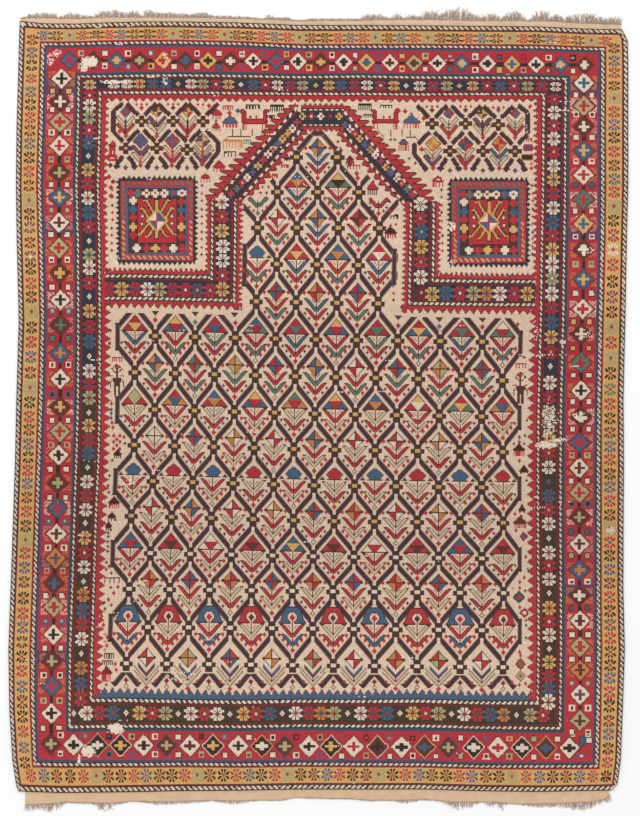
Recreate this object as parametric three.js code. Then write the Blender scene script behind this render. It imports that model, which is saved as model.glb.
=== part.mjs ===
// A small knotted-pile prayer rug with a niche design, lying flat on a floor.
// Millimetres. +X runs across the rug, +Y runs up to its niche end, and +Z is up from the floor.
// Three solids: the knotted body, and the plain-woven strip at each end with its fringe of warp ends.

import * as THREE from 'three';

// Driving sizes
const PILE_HEIGHT = 5; // foundation and worn wool pile together
const EDGE_HEIGHT = 3.2; // top of the body's rim, where the pile leans outward
const EDGE_ROUND = 2; // how far in from the rim the pile reaches its full height
const PILE_UNEVEN = 0.35; // how far the pile's face rises and dips
const STRIP_HEIGHT = 1.8; // plain-woven ends and the fringe
const SEAM_GAP = 0.3; // between the body and an end strip
const STRAND_PITCH = 6.2; // one lock of warp ends to the next
const STRAND_ROOT = 4.4; // width of a lock where it leaves the strip
const STRAND_TIP = 1.8; // width of its blunt end
const STRAND_SWAY = 1.1; // how far a lock's end drifts sideways
const SHORTEST_STRAND = 2; // a shorter end counts as worn away

// How finely the body is divided
const CELLS_ACROSS = 26;
const CELLS_UP = 34;

// The body's outline, as places across and up from the middle of the rug.
// Hand-woven edges run in and out by some 10 mm, and both lower corners are worn round.
const LEFT_EDGE = [
  { across: -599.5, up: -762.5 },
  { across: -604.5, up: -749.5 },
  { across: -611.5, up: -709.5 },
  { across: -615.5, up: -661.5 },
  { across: -619, up: -579.5 },
  { across: -620, up: -479.5 },
  { across: -612.5, up: -261.5 },
  { across: -607, up: -117.5 },
  { across: -604.5, up: 4.5 },
  { across: -599, up: 154.5 },
  { across: -601.5, up: 290.5 },
  { across: -605, up: 426.5 },
  { across: -604, up: 548.5 },
  { across: -600.5, up: 680.5 },
  { across: -597.5, up: 779 },
];
const RIGHT_EDGE = [
  { across: 586.5, up: -760.5 },
  { across: 598.5, up: -747.5 },
  { across: 604, up: -727.5 },
  { across: 607, up: -641.5 },
  { across: 612, up: -539.5 },
  { across: 613, up: -471.5 },
  { across: 610, up: -369.5 },
  { across: 611.5, up: -95.5 },
  { across: 609, up: 72.5 },
  { across: 614, up: 174.5 },
  { across: 617, up: 344.5 },
  { across: 620, up: 470.5 },
  { across: 620, up: 700.5 },
  { across: 618.5, up: 740.5 },
  { across: 607.5, up: 762 },
];
const BOTTOM_EDGE = [
  { across: -599.5, up: -762.5 },
  { across: -540.5, up: -765.5 },
  { across: -460.5, up: -765.5 },
  { across: -379.5, up: -763.5 },
  { across: -218.5, up: -760.5 },
  { across: -60.5, up: -758.5 },
  { across: 181.5, up: -758 },
  { across: 267.5, up: -760 },
  { across: 355.5, up: -763.5 },
  { across: 399.5, up: -766.5 },
  { across: 443.5, up: -763.5 },
  { across: 531.5, up: -761.5 },
  { across: 586.5, up: -760.5 },
];
const TOP_EDGE = [
  { across: -597.5, up: 779 },
  { across: -548.5, up: 774 },
  { across: -486.5, up: 773.5 },
  { across: -432.5, up: 775.5 },
  { across: -352.5, up: 777.5 },
  { across: -276.5, up: 777.5 },
  { across: -140.5, up: 775.5 },
  { across: -60.5, up: 771 },
  { across: 100.5, up: 771 },
  { across: 267.5, up: 770 },
  { across: 443.5, up: 768 },
  { across: 531.5, up: 763.5 },
  { across: 607.5, up: 762 },
];

// The outer edge of each plain-woven strip, where its fringe starts
const TOP_HEM = [
  { across: -596, up: 784 },
  { across: -540.5, up: 784.5 },
  { across: -486.5, up: 782.5 },
  { across: -446.5, up: 785 },
  { across: -352.5, up: 786 },
  { across: -218.5, up: 785 },
  { across: -140.5, up: 783.5 },
  { across: -60.5, up: 780.5 },
  { across: 19.5, up: 780 },
  { across: 181.5, up: 782 },
  { across: 267.5, up: 779.5 },
  { across: 413.5, up: 779 },
  { across: 473.5, up: 777.5 },
  { across: 531.5, up: 773.5 },
  { across: 607, up: 771.5 },
];
const BOTTOM_HEM = [
  { across: -588.5, up: -789 },
  { across: -540.5, up: -786.5 },
  { across: -500.5, up: -783.5 },
  { across: -406.5, up: -785 },
  { across: -379.5, up: -782.5 },
  { across: -218.5, up: -780.5 },
  { across: -72.5, up: -780 },
  { across: -46.5, up: -774.5 },
  { across: 61.5, up: -777 },
  { across: 101.5, up: -780.5 },
  { across: 223.5, up: -779 },
  { across: 267.5, up: -783 },
  { across: 355.5, up: -783.5 },
  { across: 399.5, up: -788 },
  { across: 473.5, up: -786 },
  { across: 539.5, up: -783.5 },
  { across: 572.5, up: -778 },
];

// Clumps of fringe: where each starts and stops, and how long its locks are
// at its start, middle and end. Between the clumps the strip's edge is bare.
const TOP_FRINGE = [
  { from: -582, to: -525, start: 10, middle: 15, end: 12 },
  { from: -514, to: -474, start: 8, middle: 18, end: 10 },
  { from: -472, to: -446, start: 7, middle: 8, end: 6 },
  { from: -444, to: -360, start: 13, middle: 19, end: 15 },
  { from: -344, to: -214, start: 19, middle: 14, end: 14 },
  { from: -212, to: -128, start: 5, middle: 8, end: 6 },
  { from: -126, to: -88, start: 9, middle: 14, end: 5 },
  { from: -84, to: -54, start: 7, middle: 10, end: 7 },
  { from: -28, to: -8, start: 3, middle: 7, end: 3 },
  { from: 6, to: 60, start: 4, middle: 6, end: 5 },
  { from: 72, to: 142, start: 5, middle: 17, end: 6 },
  { from: 146, to: 168, start: 13, middle: 18, end: 9 },
  { from: 172, to: 206, start: 10, middle: 14, end: 8 },
  { from: 208, to: 244, start: 15, middle: 26, end: 16 },
  { from: 246, to: 322, start: 18, middle: 31, end: 12 },
  { from: 330, to: 362, start: 10, middle: 20, end: 8 },
  { from: 366, to: 414, start: 11, middle: 22, end: 15 },
  { from: 424, to: 458, start: 5, middle: 22, end: 25 },
  { from: 462, to: 518, start: 14, middle: 16, end: 12 },
  { from: 520, to: 604, start: 22, middle: 18, end: 17 },
];
const BOTTOM_FRINGE = [
  { from: -588, to: -506, start: 19, middle: 21, end: 8 },
  { from: -504, to: -448, start: 5, middle: 6, end: 6 },
  { from: -446, to: -422, start: 11, middle: 18, end: 20 },
  { from: -420, to: -413, start: 25.6, middle: 25.6, end: 25.6 },
  { from: -411, to: -368, start: 9, middle: 5, end: 3 },
  { from: -352, to: -316, start: 5, middle: 10, end: 7 },
  { from: -296, to: -250, start: 3, middle: 8, end: 3 },
  { from: -178, to: -165, start: 7, middle: 11, end: 7 },
  { from: 84, to: 122, start: 3, middle: 5, end: 3 },
  { from: 142, to: 208, start: 4, middle: 11, end: 4 },
  { from: 222, to: 264, start: 4, middle: 7, end: 5 },
  { from: 266, to: 330, start: 11, middle: 19, end: 6 },
  { from: 338, to: 358, start: 13, middle: 13, end: 8 },
  { from: 361, to: 368, start: 24, middle: 24, end: 24 },
  { from: 370, to: 480, start: 7, middle: 9, end: 10 },
  { from: 482, to: 510, start: 9, middle: 11, end: 8 },
  { from: 512, to: 556, start: 17, middle: 13, end: 19 },
  { from: 558, to: 572, start: 18, middle: 14, end: 10 },
];

const wool = (color, roughness) => new THREE.MeshStandardMaterial({ color, roughness, metalness: 0 });
const PILE_WOOL = wool('#a8423f', 0.95);
const STRIP_WOOL = wool('#dfc09a', 0.92);

const curveThrough = (rows) =>
  new THREE.SplineCurve(rows.map(({ across, up }) => new THREE.Vector2(across, up)));

const edges = {
  left: curveThrough(LEFT_EDGE),
  right: curveThrough(RIGHT_EDGE),
  bottom: curveThrough(BOTTOM_EDGE),
  top: curveThrough(TOP_EDGE),
};

// The place that is a share u across and v up inside the four edges
function inside(u, v) {
  const left = edges.left.getPointAt(v);
  const right = edges.right.getPointAt(v);
  const bottom = edges.bottom.getPointAt(u);
  const top = edges.top.getPointAt(u);
  const [low, high] = [edges.bottom, edges.top];
  const corners = low.getPointAt(0).multiplyScalar((1 - u) * (1 - v))
    .addScaledVector(low.getPointAt(1), u * (1 - v))
    .addScaledVector(high.getPointAt(0), (1 - u) * v)
    .addScaledVector(high.getPointAt(1), u * v);
  return left.multiplyScalar(1 - u)
    .addScaledVector(right, u)
    .addScaledVector(bottom, 1 - v)
    .addScaledVector(top, v)
    .sub(corners);
}

// Long low waves in the pile's face, as it lies over the floor
function pileLevel(x, y) {
  const waves = Math.sin(x / 97 + y / 150) + Math.sin(y / 83 - x / 260) + Math.sin((x + y) / 61);
  return PILE_HEIGHT + PILE_UNEVEN * (waves / 3 - 0.2);
}

function divisions(cells, length) {
  const inset = EDGE_ROUND / length;
  const between = Array.from({ length: cells - 1 }, (_, i) => (i + 1) / cells);
  return [0, inset, ...between, 1 - inset, 1];
}

function meshOf(name, positions, faces, material) {
  const geometry = new THREE.BufferGeometry();
  geometry.setAttribute('position', new THREE.Float32BufferAttribute(positions, 3));
  geometry.setIndex(faces);
  geometry.computeVertexNormals();
  const mesh = new THREE.Mesh(geometry, material);
  mesh.name = name;
  return mesh;
}

// The knotted body: a grid for the pile's face, a wall round it and a flat back
function makeBody() {
  const us = divisions(CELLS_ACROSS, edges.bottom.getLength());
  const vs = divisions(CELLS_UP, edges.left.getLength());
  const [wide, high] = [us.length, vs.length];
  const at = (i, j) => j * wide + i;
  const positions = [];
  const faces = [];
  vs.forEach((v, j) => us.forEach((u, i) => {
    const { x, y } = inside(u, v);
    const onRim = i === 0 || j === 0 || i === wide - 1 || j === high - 1;
    positions.push(x, y, onRim ? EDGE_HEIGHT : pileLevel(x, y));
  }));
  for (let j = 0; j < high - 1; j += 1) {
    for (let i = 0; i < wide - 1; i += 1) {
      faces.push(at(i, j), at(i + 1, j), at(i + 1, j + 1));
      faces.push(at(i, j), at(i + 1, j + 1), at(i, j + 1));
    }
  }
  const rim = [
    ...us.slice(0, -1).map((_, i) => at(i, 0)),
    ...vs.slice(0, -1).map((_, j) => at(wide - 1, j)),
    ...us.slice(1).map((_, i) => at(wide - 1 - i, high - 1)),
    ...vs.slice(1).map((_, j) => at(0, high - 1 - j)),
  ];
  const backStart = positions.length / 3;
  rim.forEach((k) => positions.push(positions[3 * k], positions[3 * k + 1], 0));
  rim.forEach((k, n) => {
    const [next, back] = [(n + 1) % rim.length, backStart + n];
    faces.push(back, backStart + next, rim[next], back, rim[next], k);
  });
  const outline = rim.map((k) => new THREE.Vector2(positions[3 * k], positions[3 * k + 1]));
  THREE.ShapeUtils.triangulateShape(outline, []).forEach(([a, b, c]) => {
    faces.push(backStart + a, backStart + c, backStart + b);
  });
  return meshOf('rug_body', positions, faces, PILE_WOOL);
}

// The hem's height at a place across, read between the rows of its table
function hemAt(hem, across) {
  const after = Math.max(1, hem.findIndex((row) => row.across >= across));
  const [a, b] = [hem[after - 1], hem[after]];
  return THREE.MathUtils.mapLinear(across, a.across, b.across, a.up, b.up);
}

// The length of a clump's lock, a share t along it, with every third one a little short
function lockLength({ start, middle, end }, t, index) {
  const smooth = t < 0.5
    ? THREE.MathUtils.lerp(start, middle, 2 * t)
    : THREE.MathUtils.lerp(middle, end, 2 * t - 1);
  return smooth * (index % 3 === 1 ? 0.82 : 1);
}

// The outline of a strip's fringed edge from left to right; outward is 1 at the top end and -1 below
function fringedEdge(hem, clumps, outward) {
  const first = hem[0];
  const points = [new THREE.Vector2(first.across, first.up)];
  let index = 0;
  clumps.forEach((clump) => {
    const count = Math.max(1, Math.floor((clump.to - clump.from) / STRAND_PITCH));
    const pitch = (clump.to - clump.from) / count;
    for (let i = 0; i < count; i += 1) {
      const middle = clump.from + (i + 0.5) * pitch;
      const length = lockLength(clump, (i + 0.5) / count, index);
      index += 1;
      if (length >= SHORTEST_STRAND) {
        const sway = STRAND_SWAY * Math.sin(middle / 17) * Math.min(1, length / 12);
        const base = hemAt(hem, middle);
        const sides = [
          { out: 0, half: STRAND_ROOT / 2, drift: 0 },
          { out: length * 0.55, half: STRAND_ROOT * 0.44, drift: sway * 0.4 },
          { out: length, half: STRAND_TIP / 2, drift: sway },
        ];
        const side = (sign) => ({ out, half, drift }) =>
          new THREE.Vector2(middle + drift + sign * half, base + outward * out);
        points.push(...sides.map(side(-1)), ...sides.reverse().map(side(1)));
      }
    }
  });
  const last = hem[hem.length - 1];
  points.push(new THREE.Vector2(last.across, last.up));
  return points;
}

// A plain-woven strip between the body's edge and its own fringed edge, flat on the floor
function makeEndStrip(name, bodyEdge, hem, clumps, outward) {
  const seam = divisions(CELLS_ACROSS, edges.bottom.getLength())
    .map((u) => bodyEdge.getPointAt(u))
    .map(({ x, y }) => new THREE.Vector2(x, y + outward * SEAM_GAP));
  const shape = new THREE.Shape([...fringedEdge(hem, clumps, outward), ...seam.reverse()]);
  const geometry = new THREE.ExtrudeGeometry(shape, { depth: STRIP_HEIGHT, bevelEnabled: false });
  const mesh = new THREE.Mesh(geometry, STRIP_WOOL);
  mesh.name = name;
  return mesh;
}

const rug = new THREE.Group();
rug.add(
  makeBody(),
  makeEndStrip('end_strip_upper', edges.top, TOP_HEM, TOP_FRINGE, 1),
  makeEndStrip('end_strip_lower', edges.bottom, BOTTOM_HEM, BOTTOM_FRINGE, -1),
);

// The origin is on the floor under the middle of the whole rug, fringes included
const middle = new THREE.Box3().setFromObject(rug, true).getCenter(new THREE.Vector3());
rug.children.forEach((mesh) => mesh.position.set(-middle.x, -middle.y, 0));

export default rug;
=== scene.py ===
"""A hand-knotted wool prayer rug from Shirvan, laid out flat on a pale floor and seen from above.

The rug is worked out the way a weaver works it: as a chart with one colour for each knot.
Places are given in the photograph's own scale, one unit to two millimetres, across and down,
and a smooth map between knots and places bends the straight chart the way the real rug has
crept out of square. Motifs that stand free are drawn by their places; small repeats are
charted knot by knot. The pile is then one small raised face for each knot, on a woven
foundation, with plain-woven wool at both ends and loose warp ends beyond it.
"""

import math
import random

import bpy
import numpy as np
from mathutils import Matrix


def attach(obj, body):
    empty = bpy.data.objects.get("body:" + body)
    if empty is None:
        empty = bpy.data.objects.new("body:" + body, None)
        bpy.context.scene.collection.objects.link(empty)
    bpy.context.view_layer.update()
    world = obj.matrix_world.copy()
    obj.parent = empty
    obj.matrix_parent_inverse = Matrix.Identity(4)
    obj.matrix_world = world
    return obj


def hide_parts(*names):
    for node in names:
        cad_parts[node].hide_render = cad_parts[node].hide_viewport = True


# Scale.

UNIT = 0.002                 # metres in one unit of the chart's places
MIDDLE = (318.35, 410.15)    # the place that lies over the frame's origin
PICTURE = (640, 816)         # width and height of the picture in the same units


def cell(word):
    """A number where the word is one."""
    try:
        return float(word) if "." in word else int(word)
    except ValueError:
        return word


def table(text):
    """Rows of a written table: commas part the rows, blanks the cells."""
    return [tuple(cell(word) for word in row.split()) for row in text.split(",")]


def column(rows, number):
    """One column of a table as numbers."""
    return np.array([row[number] for row in rows], dtype=float)


# Dyed wools, as sRGB. One letter stands for each in every chart below.
WOOLS = {
    "I": "#E8CBB0",   # undyed ivory of the field
    "W": "#E9D4BE",   # bleached white of the small motifs
    "R": "#BC373D",   # madder red
    "r": "#7E2B30",   # dark madder
    "D": "#3B2E27",   # near-black brown
    "c": "#4A3B2F",   # olive brown of the cords
    "A": "#493539",   # aubergine black of the lattice bars
    "n": "#8A6A5C",   # worn brown beside the bars
    "l": "#D2BD9A",   # pale khaki of the outlined leaves
    "X": "#505070",   # violet of the thin line inside the second cord
    "Z": "#7A3F58",   # violet ground of a few short stretches
    "k": "#BDA873",   # khaki ground behind the faded flowers
    "o": "#56382D",   # brown of the fine outlines
    "Y": "#DCAB67",   # gold
    "y": "#D3A75C",   # clear yellow
    "K": "#B5A878",   # khaki
    "B": "#48647F",   # indigo blue
    "G": "#5C7A68",   # green
    "N": "#66382F",   # corroded brown
    "O": "#CC8149",   # orange
    "P": "#704D62",   # purple
    "V": "#373640",   # navy
    "L": "#493A2E",   # olive brown
    "T": "#3C5264",   # teal
    "p": "#CF8F80",   # faded pink
    "F": "#F3E0CC",   # bare foundation
}
CODE = {letter: number for number, letter in enumerate(WOOLS)}

# Stripes of the border from the outside in: name, knots deep at the sides, the top and the
# bottom, ground.
STRIPES = [
    ("outer cord", 5, 5, 5, "c"), ("dark line", 1, 1, 1, "r"), ("gold band", 15, 12, 14, "Y"),
    ("red line", 1, 1, 1, "R"), ("second cord", 5, 4, 4, "c"), ("blue line", 2, 2, 2, "X"),
    ("main band", 27, 21, 24, "R"), ("inner blue line", 2, 2, 2, "T"),
    ("third cord", 4, 4, 4, "c"), ("third red line", 2, 1, 1, "r"),
    ("rosette band", 14, 10, 14, "V"), ("fourth red line", 2, 2, 1, "r"),
    ("inner cord", 4, 4, 4, "c"), ("saw teeth", 7, 6, 5, "R"),
]
GOLD_BAND, ROSETTE_BAND, SAW_TEETH = 2, 10, 13      # their numbers in the table
SIDE, TOP, BOTTOM = (sum(stripe[part] for stripe in STRIPES) for part in (1, 2, 3))

LATTICE_FIRST = 25      # columns from the field's edge to the first lattice node
LATTICE_LAST = 29
LATTICE_STEP = 40
LATTICE_ACROSS = 10
ROW_FIRST = 47          # rows from the field's top to the first row of nodes
ROW_LAST = 22
ROW_STEP = 30
ROW_COUNT = 15
FIELD_WIDE = LATTICE_FIRST + LATTICE_STEP * (LATTICE_ACROSS - 1) + LATTICE_LAST
FIELD_TALL = ROW_FIRST + ROW_STEP * (ROW_COUNT - 1) + ROW_LAST
COLUMNS = SIDE * 2 + FIELD_WIDE
ROWS = TOP + FIELD_TALL + BOTTOM

# The rug's own creep. Where columns of knots run on both sides: y, then x of each column in
# SIDE_COLUMNS, which count from the rug's own edge.
SIDE_COLUMNS = (0, 28, 57, 79, 91)
LEFT_RUN = table("""
    20 19.6 47.4 76.4 97.6 109.8, 60 18.4 46 76 97.3 109.5, 130 16.4 44.3 75 96.4 108.5,
    185 15.8 42.6 73.4 94.8 107, 240 16.6 44.2 75 96.3 108, 320 18.6 46 75.4 96.6 109,
    400 16.2 44.2 75 96.5 109, 460 14.9 42.3 73.3 95.5 107.6, 520 12.9 40.2 71.3 92.6 105,
    590 10.4 38.2 69.2 90.5 103, 650 8.3 36.2 67.1 88.7 101.2, 710 9.2 36.2 66.7 87.5 100,
    760 12.2 37.9 67 87.8 100.2, 785 16 40.5 68.5 89 101.2, 792 18.5 42.5 70 90.2 102.2
""")
RIGHT_RUN = table("""
    29 622 597 568.5 547.8 533.4, 40 627.6 599.2 569 548 533.5, 60 628.3 599.3 569 548 533.5,
    130 628.3 599 568.1 546.6 533.4, 185 628.3 599.2 568 546.2 533.6,
    240 626.9 598.8 567.3 544.9 533.2, 320 625.4 596.9 566.2 544 531.4,
    400 623.5 595.4 564.1 541.8 529.3, 460 624 594.9 563.7 541 529,
    520 623.6 594.9 563.5 541 528.6, 590 623.4 594.8 563.9 541.5 529.2,
    650 624.9 595.1 564 541.8 529.2, 710 622.8 594.5 563.4 540.5 528.5,
    760 620.9 593.4 563 540.3 528.3, 784 617.5 592 562.2 539.8 528,
    791 611.5 588.6 560.4 538.6 527.2
""")
# The same for the columns of lattice nodes.
NODE_RUN = table("""
    157 135 175.6 215.5 257 297 337.5 379 420 462 503,
    228 134.8 175.4 215.2 257.3 296.3 337.8 379 420 462 503,
    303 134.6 175.1 214.5 255.8 295.5 336.3 377.6 418.5 461.6 502.5,
    375 134.3 174.8 213.9 254.9 294.7 335.4 375.2 417.7 461.1 501.9,
    449 133.7 174.1 213.1 253.6 293.2 334.4 374.5 417.1 459.3 502.5,
    520 130.6 170.9 210.6 252.7 293 333.6 373.8 416.6 459.4 503.1,
    592 128.6 169.1 208.8 251 291.7 332.3 373.8 416.7 459.4 503.4,
    666 125.6 166 208.3 250.4 292.1 332.8 373.8 416.5 459.6 502.8
""")
# Where known rows run: x, then y of the rows counted from the top or the bottom.
TOP_ROWS = (0, 24, 47, 64, 75)
TOP_RUN = table("""
    20 20.8 47 73 88 101, 44 23.3 47.3 73.4 88.5 101.3, 75 23.6 47 73.8 89 101.5,
    102 22.5 46.1 73.6 89.2 101.5, 142 21.4 45.6 72.7 89.2 101.4, 180 21.4 45.6 72.4 89.2 101.3,
    240 22.4 46.9 73.1 90 102, 300 24.9 50 74.3 90.8 102.2, 360 24.9 49.8 73.4 90.8 102.1,
    420 25.2 49.7 74.5 91.5 102.5, 480 25.8 50.1 74.8 91 102, 540 26.3 50.3 75 91.5 102,
    584 28.6 51.8 76.8 92.8 103.4, 622 29.2 52.4 77.4 93.4 104
""")
BOTTOM_ROWS = (0, 26, 52, 72.5, 82)
BOTTOM_RUN = table("""
    18 791.5 760 730.5 704.5 690, 60 793.1 761 731 704.5 690, 120 792.4 761 730 703.8 690,
    180 791.2 760.6 730 705.2 691.5, 240 790.7 761.3 730.3 706 692.2,
    300 789.5 760.5 729.2 704.7 691.5, 360 789.6 761 729.8 705 691.8,
    420 789.4 761.3 729.6 704.7 691.3, 480 791.2 763.1 731 706.3 692.8,
    540 792 763.1 731.8 706.8 692.8, 585 791 763.1 732 707 693, 611 790.6 762.8 732 707 693
""")
# Rows of lattice nodes: y at the first node, the middle and the last node.
NODE_ROWS_AT = (134, 318, 502)
NODE_ROWS = table("""
    156.5 157.5 158.5, 191.5 192.5 193, 227.5 228.2 229, 262.5 265 267.5, 299.5 303.2 306,
    336 340 342.5, 372.8 377.4 381, 409.6 414.3 417.4, 445.3 450 452.5, 481.2 486 488.2,
    516.2 521.5 523.3, 553.3 557 559.2, 589.3 591.7 593.6, 627.5 629.2 631, 663.9 665.9 667.8
""")


def node_column(i):
    """Column of knots of a lattice node; a half is the row between."""
    return SIDE + LATTICE_FIRST + LATTICE_STEP * i


def node_row(k):
    """Row of knots of a lattice node."""
    return TOP + ROW_FIRST + ROW_STEP * k


def along(run, index, at):
    """Where the known line of knots with this index runs."""
    return np.interp(at, column(run, 0), column(run, index + 1))


def known_columns(y):
    """Knot columns that are known, and their x at the heights y."""
    sides = list(enumerate(SIDE_COLUMNS))
    numbers = [number for _, number in sides]
    numbers += [node_column(i) for i in range(LATTICE_ACROSS)]
    numbers += [COLUMNS - number for _, number in sides[::-1]]
    places = [along(LEFT_RUN, index, y) for index, _ in sides]
    places += [along(NODE_RUN, i, y) for i in range(LATTICE_ACROSS)]
    places += [along(RIGHT_RUN, index, y) for index, _ in sides[::-1]]
    return np.array(numbers, dtype=float), np.array(places)


def known_rows(x):
    """Knot rows that are known, and their y at the places x along them."""
    ends = list(range(len(TOP_ROWS)))
    numbers = list(TOP_ROWS) + [node_row(k) for k in range(ROW_COUNT)]
    numbers += [ROWS - number for number in BOTTOM_ROWS[::-1]]
    places = [along(TOP_RUN, index, x) for index in ends]
    places += [np.interp(x, NODE_ROWS_AT, heights) for heights in NODE_ROWS]
    places += [along(BOTTOM_RUN, index, x) for index in ends[::-1]]
    return np.array(numbers, dtype=float), np.array(places)


def between(numbers, places, wanted):
    """Places for the wanted numbers, straight between the known ones."""
    step = np.clip(np.searchsorted(numbers, wanted, side="right") - 1, 0, len(numbers) - 2)
    low, high = numbers[step], numbers[step + 1]
    share = (wanted - low) / (high - low)
    start = np.take_along_axis(places, step[None], axis=0)[0]
    end = np.take_along_axis(places, step[None] + 1, axis=0)[0]
    return start + (end - start) * share


def places_of(columns, rows):
    """x and y of points given in knots, settled by a few passes."""
    x = 18.0 + columns
    y = 22.0 + rows * 1.19
    for _ in range(6):
        x = between(*known_columns(y), columns)
        y = between(*known_rows(x), rows)
    return x, y


def knot_at(x, y):
    """Column and row of the knot at one place."""
    columns, across = known_columns(np.array([float(y)]))
    rows, down = known_rows(np.array([float(x)]))
    return np.interp(x, across[:, 0], columns), np.interp(y, down[:, 0], rows)


# Drawing on the chart.

KNOT_X, KNOT_Y = places_of(*np.meshgrid(np.arange(COLUMNS) + 0.5, np.arange(ROWS) + 0.5))
chart = np.full((ROWS, COLUMNS), CODE["I"], dtype=np.int8)


def window(x0, y0, x1, y1):
    """The part of the chart that holds a region, with a small margin."""
    cols, rows = zip(*(knot_at(x, y) for x in (x0, x1) for y in (y0, y1)))
    return (slice(max(int(min(rows)) - 3, 0), min(int(max(rows)) + 4, ROWS)),
            slice(max(int(min(cols)) - 3, 0), min(int(max(cols)) + 4, COLUMNS)))


def around(x, y, half_wide, half_tall):
    """The part of the chart round a place, and how far across and down its knots lie."""
    area = window(x - half_wide, y - half_tall, x + half_wide, y + half_tall)
    return area, KNOT_X[area] - x, KNOT_Y[area] - y


def paint(area, mask, wool, outline=None):
    """Sets the knots of a mask, and the ones that touch it from outside as its outline."""
    if outline:
        grown = mask.copy()
        grown[1:] |= mask[:-1]
        grown[:-1] |= mask[1:]
        grown[:, 1:] |= mask[:, :-1]
        grown[:, :-1] |= mask[:, 1:]
        chart[area][grown & ~mask] = CODE[outline]
    chart[area][mask] = CODE[wool]


def diamond(x, y, half_wide, half_tall, wool, outline=None):
    area, px, py = around(x, y, half_wide, half_tall)
    paint(area, np.abs(px) / half_wide + np.abs(py) / half_tall <= 1.0, wool, outline)


def box(x, y, half_wide, half_tall, wool, outline=None):
    area, px, py = around(x, y, half_wide, half_tall)
    paint(area, (np.abs(px) <= half_wide) & (np.abs(py) <= half_tall), wool, outline)


def polygon(points, wool, outline=None):
    xs, ys = zip(*points)
    area = window(min(xs), min(ys), max(xs), max(ys))
    px, py = KNOT_X[area], KNOT_Y[area]
    inside = np.zeros(px.shape, dtype=bool)
    for (ax, ay), (bx, by) in zip(points, points[1:] + points[:1]):
        if ay == by:
            continue
        spans = (ay > py) != (by > py)
        inside ^= spans & (px < (bx - ax) * (py - ay) / (by - ay) + ax)
    paint(area, inside, wool, outline)


def bar(start, end, thick, wool, outline=None):
    """A straight bar with square ends."""
    (ax, ay), (bx, by) = start, end
    length = math.hypot(bx - ax, by - ay)
    sx, sy = (by - ay) / length * thick / 2, -(bx - ax) / length * thick / 2
    polygon([(ax + sx, ay + sy), (bx + sx, by + sy), (bx - sx, by - sy), (ax - sx, ay - sy)],
            wool, outline)


def stamp(shape, at_column, at_row, wools=None):
    """Knot-by-knot motif with its middle on a knot; a dot leaves the ground."""
    wools = wools or {}
    left = int(round(at_column)) - len(shape[0]) // 2
    high = int(round(at_row)) - len(shape) // 2
    for down, line in enumerate(shape):
        for across, letter in enumerate(line):
            wool = wools.get(letter, letter)
            row, col = high + down, left + across
            if wool != "." and 0 <= row < ROWS and 0 <= col < COLUMNS:
                chart[row, col] = CODE[wool]


def stamp_at(shape, x, y, wools=None):
    across, down = knot_at(x, y)
    stamp(shape, int(across), int(down), wools)


def mirrored(text):
    """A motif from the left halves of its lines; the last letter of each is the middle."""
    return [line + line[-2::-1] for line in text.split()]


PLUS = mirrored(".s ss .s")
TALL_PLUS = mirrored(".s ss ss .s")
SOLID_DIAMOND = mirrored("..s .ss sss .ss ..s")
HOLLOW_DIAMOND = mirrored("..s .sI sII .sI ..s")


def dot(x, y, wool):
    stamp_at(PLUS, x, y, {"s": wool})


def spot(x, y, wool):
    stamp_at(SOLID_DIAMOND, x, y, {"s": wool})


def draw(marks, x, y, side=1):
    """Marks round a place: kind, across, down, then its sizes and wools.

    A bar has the place of its other end next. A kind with a star is set on both sides, and a
    side of -1 turns all of them round.
    """
    kinds = {"box": box, "diamond": diamond, "dot": dot, "spot": spot}
    for kind, across, down, *rest in table(marks):
        for turn in (-side, side) if kind[-1] == "*" else (side,):
            start = (x + turn * across, y + down)
            if kind.startswith("bar"):
                bar(start, (x + turn * rest[0], y + rest[1]), *rest[2:])
            else:
                kinds[kind.strip("*")](*start, *rest)


# Stripes.

def stripe_box(number, shrink=0):
    """Left, top, right and bottom of the rectangle inside the first stripes, in knots."""
    side, top, bottom = (
        sum(stripe[part] for stripe in STRIPES[:number]) + shrink for part in (1, 2, 3))
    return side, top, COLUMNS - side, ROWS - bottom


DASH_STEP = 5.4       # places from one light dash of a cord to the next
DASH_SHARE = 0.55     # of the step is light
DASH_SLANT = 1.15     # places that a dash leans for each knot of the cord's depth
FOOT_TURN = 280       # the foot's cords lean the other way beyond this place
SHELF_HEIGHT = 285    # above it stand the finer teeth
# Saw teeth on each side: knots deep between them, how much deeper at a tip, places apart.
TEETH = {
    "top": (1.4, 3.4, 7.75), "bottom": (1.2, 4.6, 7.75), "left": (1.2, 6.6, 8.8),
    "right": (1.2, 6.6, 9.6),
}
FINE_TEETH = {"left": (1.6, 4.6, 7.0), "right": (1.6, 4.6, 6.3)}
TEETH_DEEP = 10       # knots, more than any tooth


def side_lines(edges, side, upper, lower):
    """Lines of knots from each side inward: name of the side, how deep, the line, its places."""
    left, top, right, bottom = edges
    level, upright = slice(left, right), slice(top, bottom)
    lines = [("top", deep, (top + deep, level)) for deep in range(upper)]
    lines += [("bottom", deep, (bottom - 1 - deep, level)) for deep in range(lower)]
    lines += [("left", deep, (upright, left + deep)) for deep in range(side)]
    lines += [("right", deep, (upright, right - 1 - deep)) for deep in range(side)]
    for name, deep, line in lines:
        yield name, deep, line, (KNOT_X if name in ("top", "bottom") else KNOT_Y)[line]


def light_dashes(run):
    """Which knots along a cord are light."""
    return (run / DASH_STEP) % 1.0 < DASH_SHARE


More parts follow.
